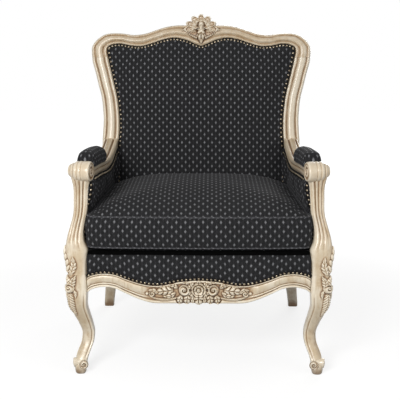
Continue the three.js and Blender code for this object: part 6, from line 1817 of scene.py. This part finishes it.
# %% [markdown]
# ## Under the covers
# The parts that the covers hide keep their plain solids and get the finish of the real thing: bare beech,
# jute webbing, hessian, cotton felt and spring wire. The deck under the cushion and the dust cover below show
# when the cushion comes out or the chair is turned over, so they are made as cloth.


# %% Finishes of the hidden parts
def woven(name, dark, light, thread, roughness=0.9, grain=0.5, shine=0.2):
    """A plain weave on Object coordinates: two sine waves at a right angle, uneven by a noise."""
    finish = Finish(name, Specular_IOR_Level=shine)
    spot = finish.object_place()
    parts = finish.coordinates(spot)
    shift = finish.times(finish.noise(spot, 90.0, 2.0), 3.0)
    rows = [finish.plus(finish.times(part, 2 * math.pi / thread), shift) for part in parts]
    weave = finish.times(finish.math("SINE", rows[0]), finish.math("SINE", rows[1]))
    height = finish.times_plus(weave, 0.5, 0.5)
    slub = finish.noise(spot, 160.0, 3.0)
    share = finish.times_plus(height, grain, finish.times(slub, 1 - grain))
    colour = finish.blend(finish.ramp(share, 0.25, 0.75), dark, light)
    return finish.finished(colour, roughness, height, 0.6, 0.0006)


# A pale ground with long grain and short dark flecks, and a dark grey metal streaked along the wire.
BEECH = grained(
    "bare_beech", (9, 120, 120), (0.35, 0.65), (tint(208, 170, 126), tint(184, 141, 98)),
    ((110, 700, 700), 1.0, 0.62, 0.72, 0.5), tint(140, 98, 62), (0.5, 0.68), (0.2, 0.0004), 4.0, 0.6,
    Specular_IOR_Level=0.35,
)
WIRE = grained(
    "spring_wire", (300, 300, 60), (0.35, 0.65), (tint(120, 120, 122), tint(172, 172, 174)),
    None, None, (0.3, 0.48), (0.1, 0.0002), Metallic=1.0,
)
JUTE = woven("jute_webbing", tint(150, 112, 66), tint(206, 174, 124), 0.0022)
HESSIAN = woven("hessian", tint(128, 98, 60), tint(190, 158, 110), 0.0030)
FELT = woven("cotton_felt", tint(214, 208, 192), tint(236, 232, 220), 0.0060, 1.0, 0.2)
LINING = woven("black_lining", tint(17, 17, 18), tint(46, 46, 48), 0.0016, 0.9)
# Near-black cloth of the strip that paints the shadow under the cushion's front.
SHADOW_STRIP_CLOTH = woven("painted_shadow_cloth", tint(2, 2, 2), tint(9, 9, 9), 0.0012, 1.0, shine=0.04)
HIDDEN_FINISHES = {
    "stay_rail": BEECH, "front_corner_block": BEECH, "rear_corner_block": BEECH, "front_corner_screw": WIRE,
    "rear_corner_screw": WIRE, "seat_spring": WIRE, "seat_webbing": JUTE, "back_webbing": JUTE,
    "spring_cover": HESSIAN, "back_hessian": HESSIAN, "seat_stuffing": FELT,
}
hidden = 0
for node_name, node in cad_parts.items():
    for start, finish_of_it in HIDDEN_FINISHES.items():
        if node_name.startswith(start):
            node.data.materials.clear()
            node.data.materials.append(finish_of_it)
            hidden += 1
print("hidden parts with a finish:", hidden)


# %% Deck, dust cover and back rail
DECK_BOTTOM, DECK_WAVE, DUST_BOTTOM, DUST_THICKNESS, DUST_SAG = 363.0, 0.5, 256.0, 1.2, 3.0
BACK_RAIL_HALF, BACK_RAIL_FRONT_D, BACK_RAIL_REAR_D, BACK_RAIL_RELIEF = 296.5, 588.4, 616.2, 3.0
BACK_RAIL_BOTTOM, BACK_RAIL_TOP = 257.7, 337.8
# Depth, half-width: the deck between the arms, and the dust cover between the rails.
DECK_PLAN = np.array([(42.2, 319.6), (70.0, 318.0), (585.0, 290.2), (594.4, 280.5)])
DUST_PLAN = np.array([
    (56.5, 321.5), (75.1, 321.5), (75.6, 333.4), (579.0, 295.2), (579.5, 281.7), (602.0, 281.7),
])


def plan_grid(plan, rows, columns):
    """Places over a plan whose half-width changes with the depth: x and d as two grids."""
    d = np.unique(np.concatenate([plan[:, 0], np.linspace(plan[0, 0], plan[-1, 0], rows)]))[:, None]
    return np.interp(d, plan[:, 0], plan[:, 1]) * steps_across(columns, -1, 1), d + np.zeros((1, columns))


def seat_deck():
    """A thin pad. Its top lies in shallow waves, the product of two sines, just under the cushion."""
    x, d = plan_grid(DECK_PLAN, 70, 70)
    top = DECK_TOP - 0.1 - DECK_WAVE * (1 + np.sin(x / 26) * np.sin(d / 31))
    return plate(place(x, d, top), place(x, d, DECK_BOTTOM))


def dust_cover():
    """A thin sheet tacked under the rails. It sags by a cosine across times a sine from front to rear."""
    x, d = plan_grid(DUST_PLAN, 60, 60)
    front, rear = DUST_PLAN[[0, -1], 0]
    low = DUST_BOTTOM - DUST_SAG * np.cos(math.pi * x / 680) * np.sin(math.pi * (d - front) / (rear - front))
    return plate(place(x, d, low + DUST_THICKNESS), place(x, d, low))


def back_rail():
    """A board with the rails' moulding, shallower, worked along its rear face."""
    x = steps_down(90, -BACK_RAIL_HALF, BACK_RAIL_HALF)
    up = steps_across(60)
    (back,) = rail_section_at(up)
    rear = place(x, BACK_RAIL_REAR_D - BACK_RAIL_RELIEF * back, mix(BACK_RAIL_BOTTOM, BACK_RAIL_TOP, up))
    front = [place(x, BACK_RAIL_FRONT_D, z) for z in (BACK_RAIL_TOP, BACK_RAIL_BOTTOM)]
    return tube(np.concatenate([rear, *front], axis=1))


# The near-black strip on the border's top: painted shadow under the cushion's front.
add_piece("seat_deck_painted_shadow", [painted_shadow_strip()], SHADOW_STRIP_CLOTH, [])
deck = add_piece("seat_deck_cover", [seat_deck()], LINING, ["seat_deck"])
dust = add_piece("dust_cover_sheet", [dust_cover()], LINING, ["dust_cover"])
add_piece("back_rail_dressed", [back_rail()], PAINT, ["back_rail"], passes=12)
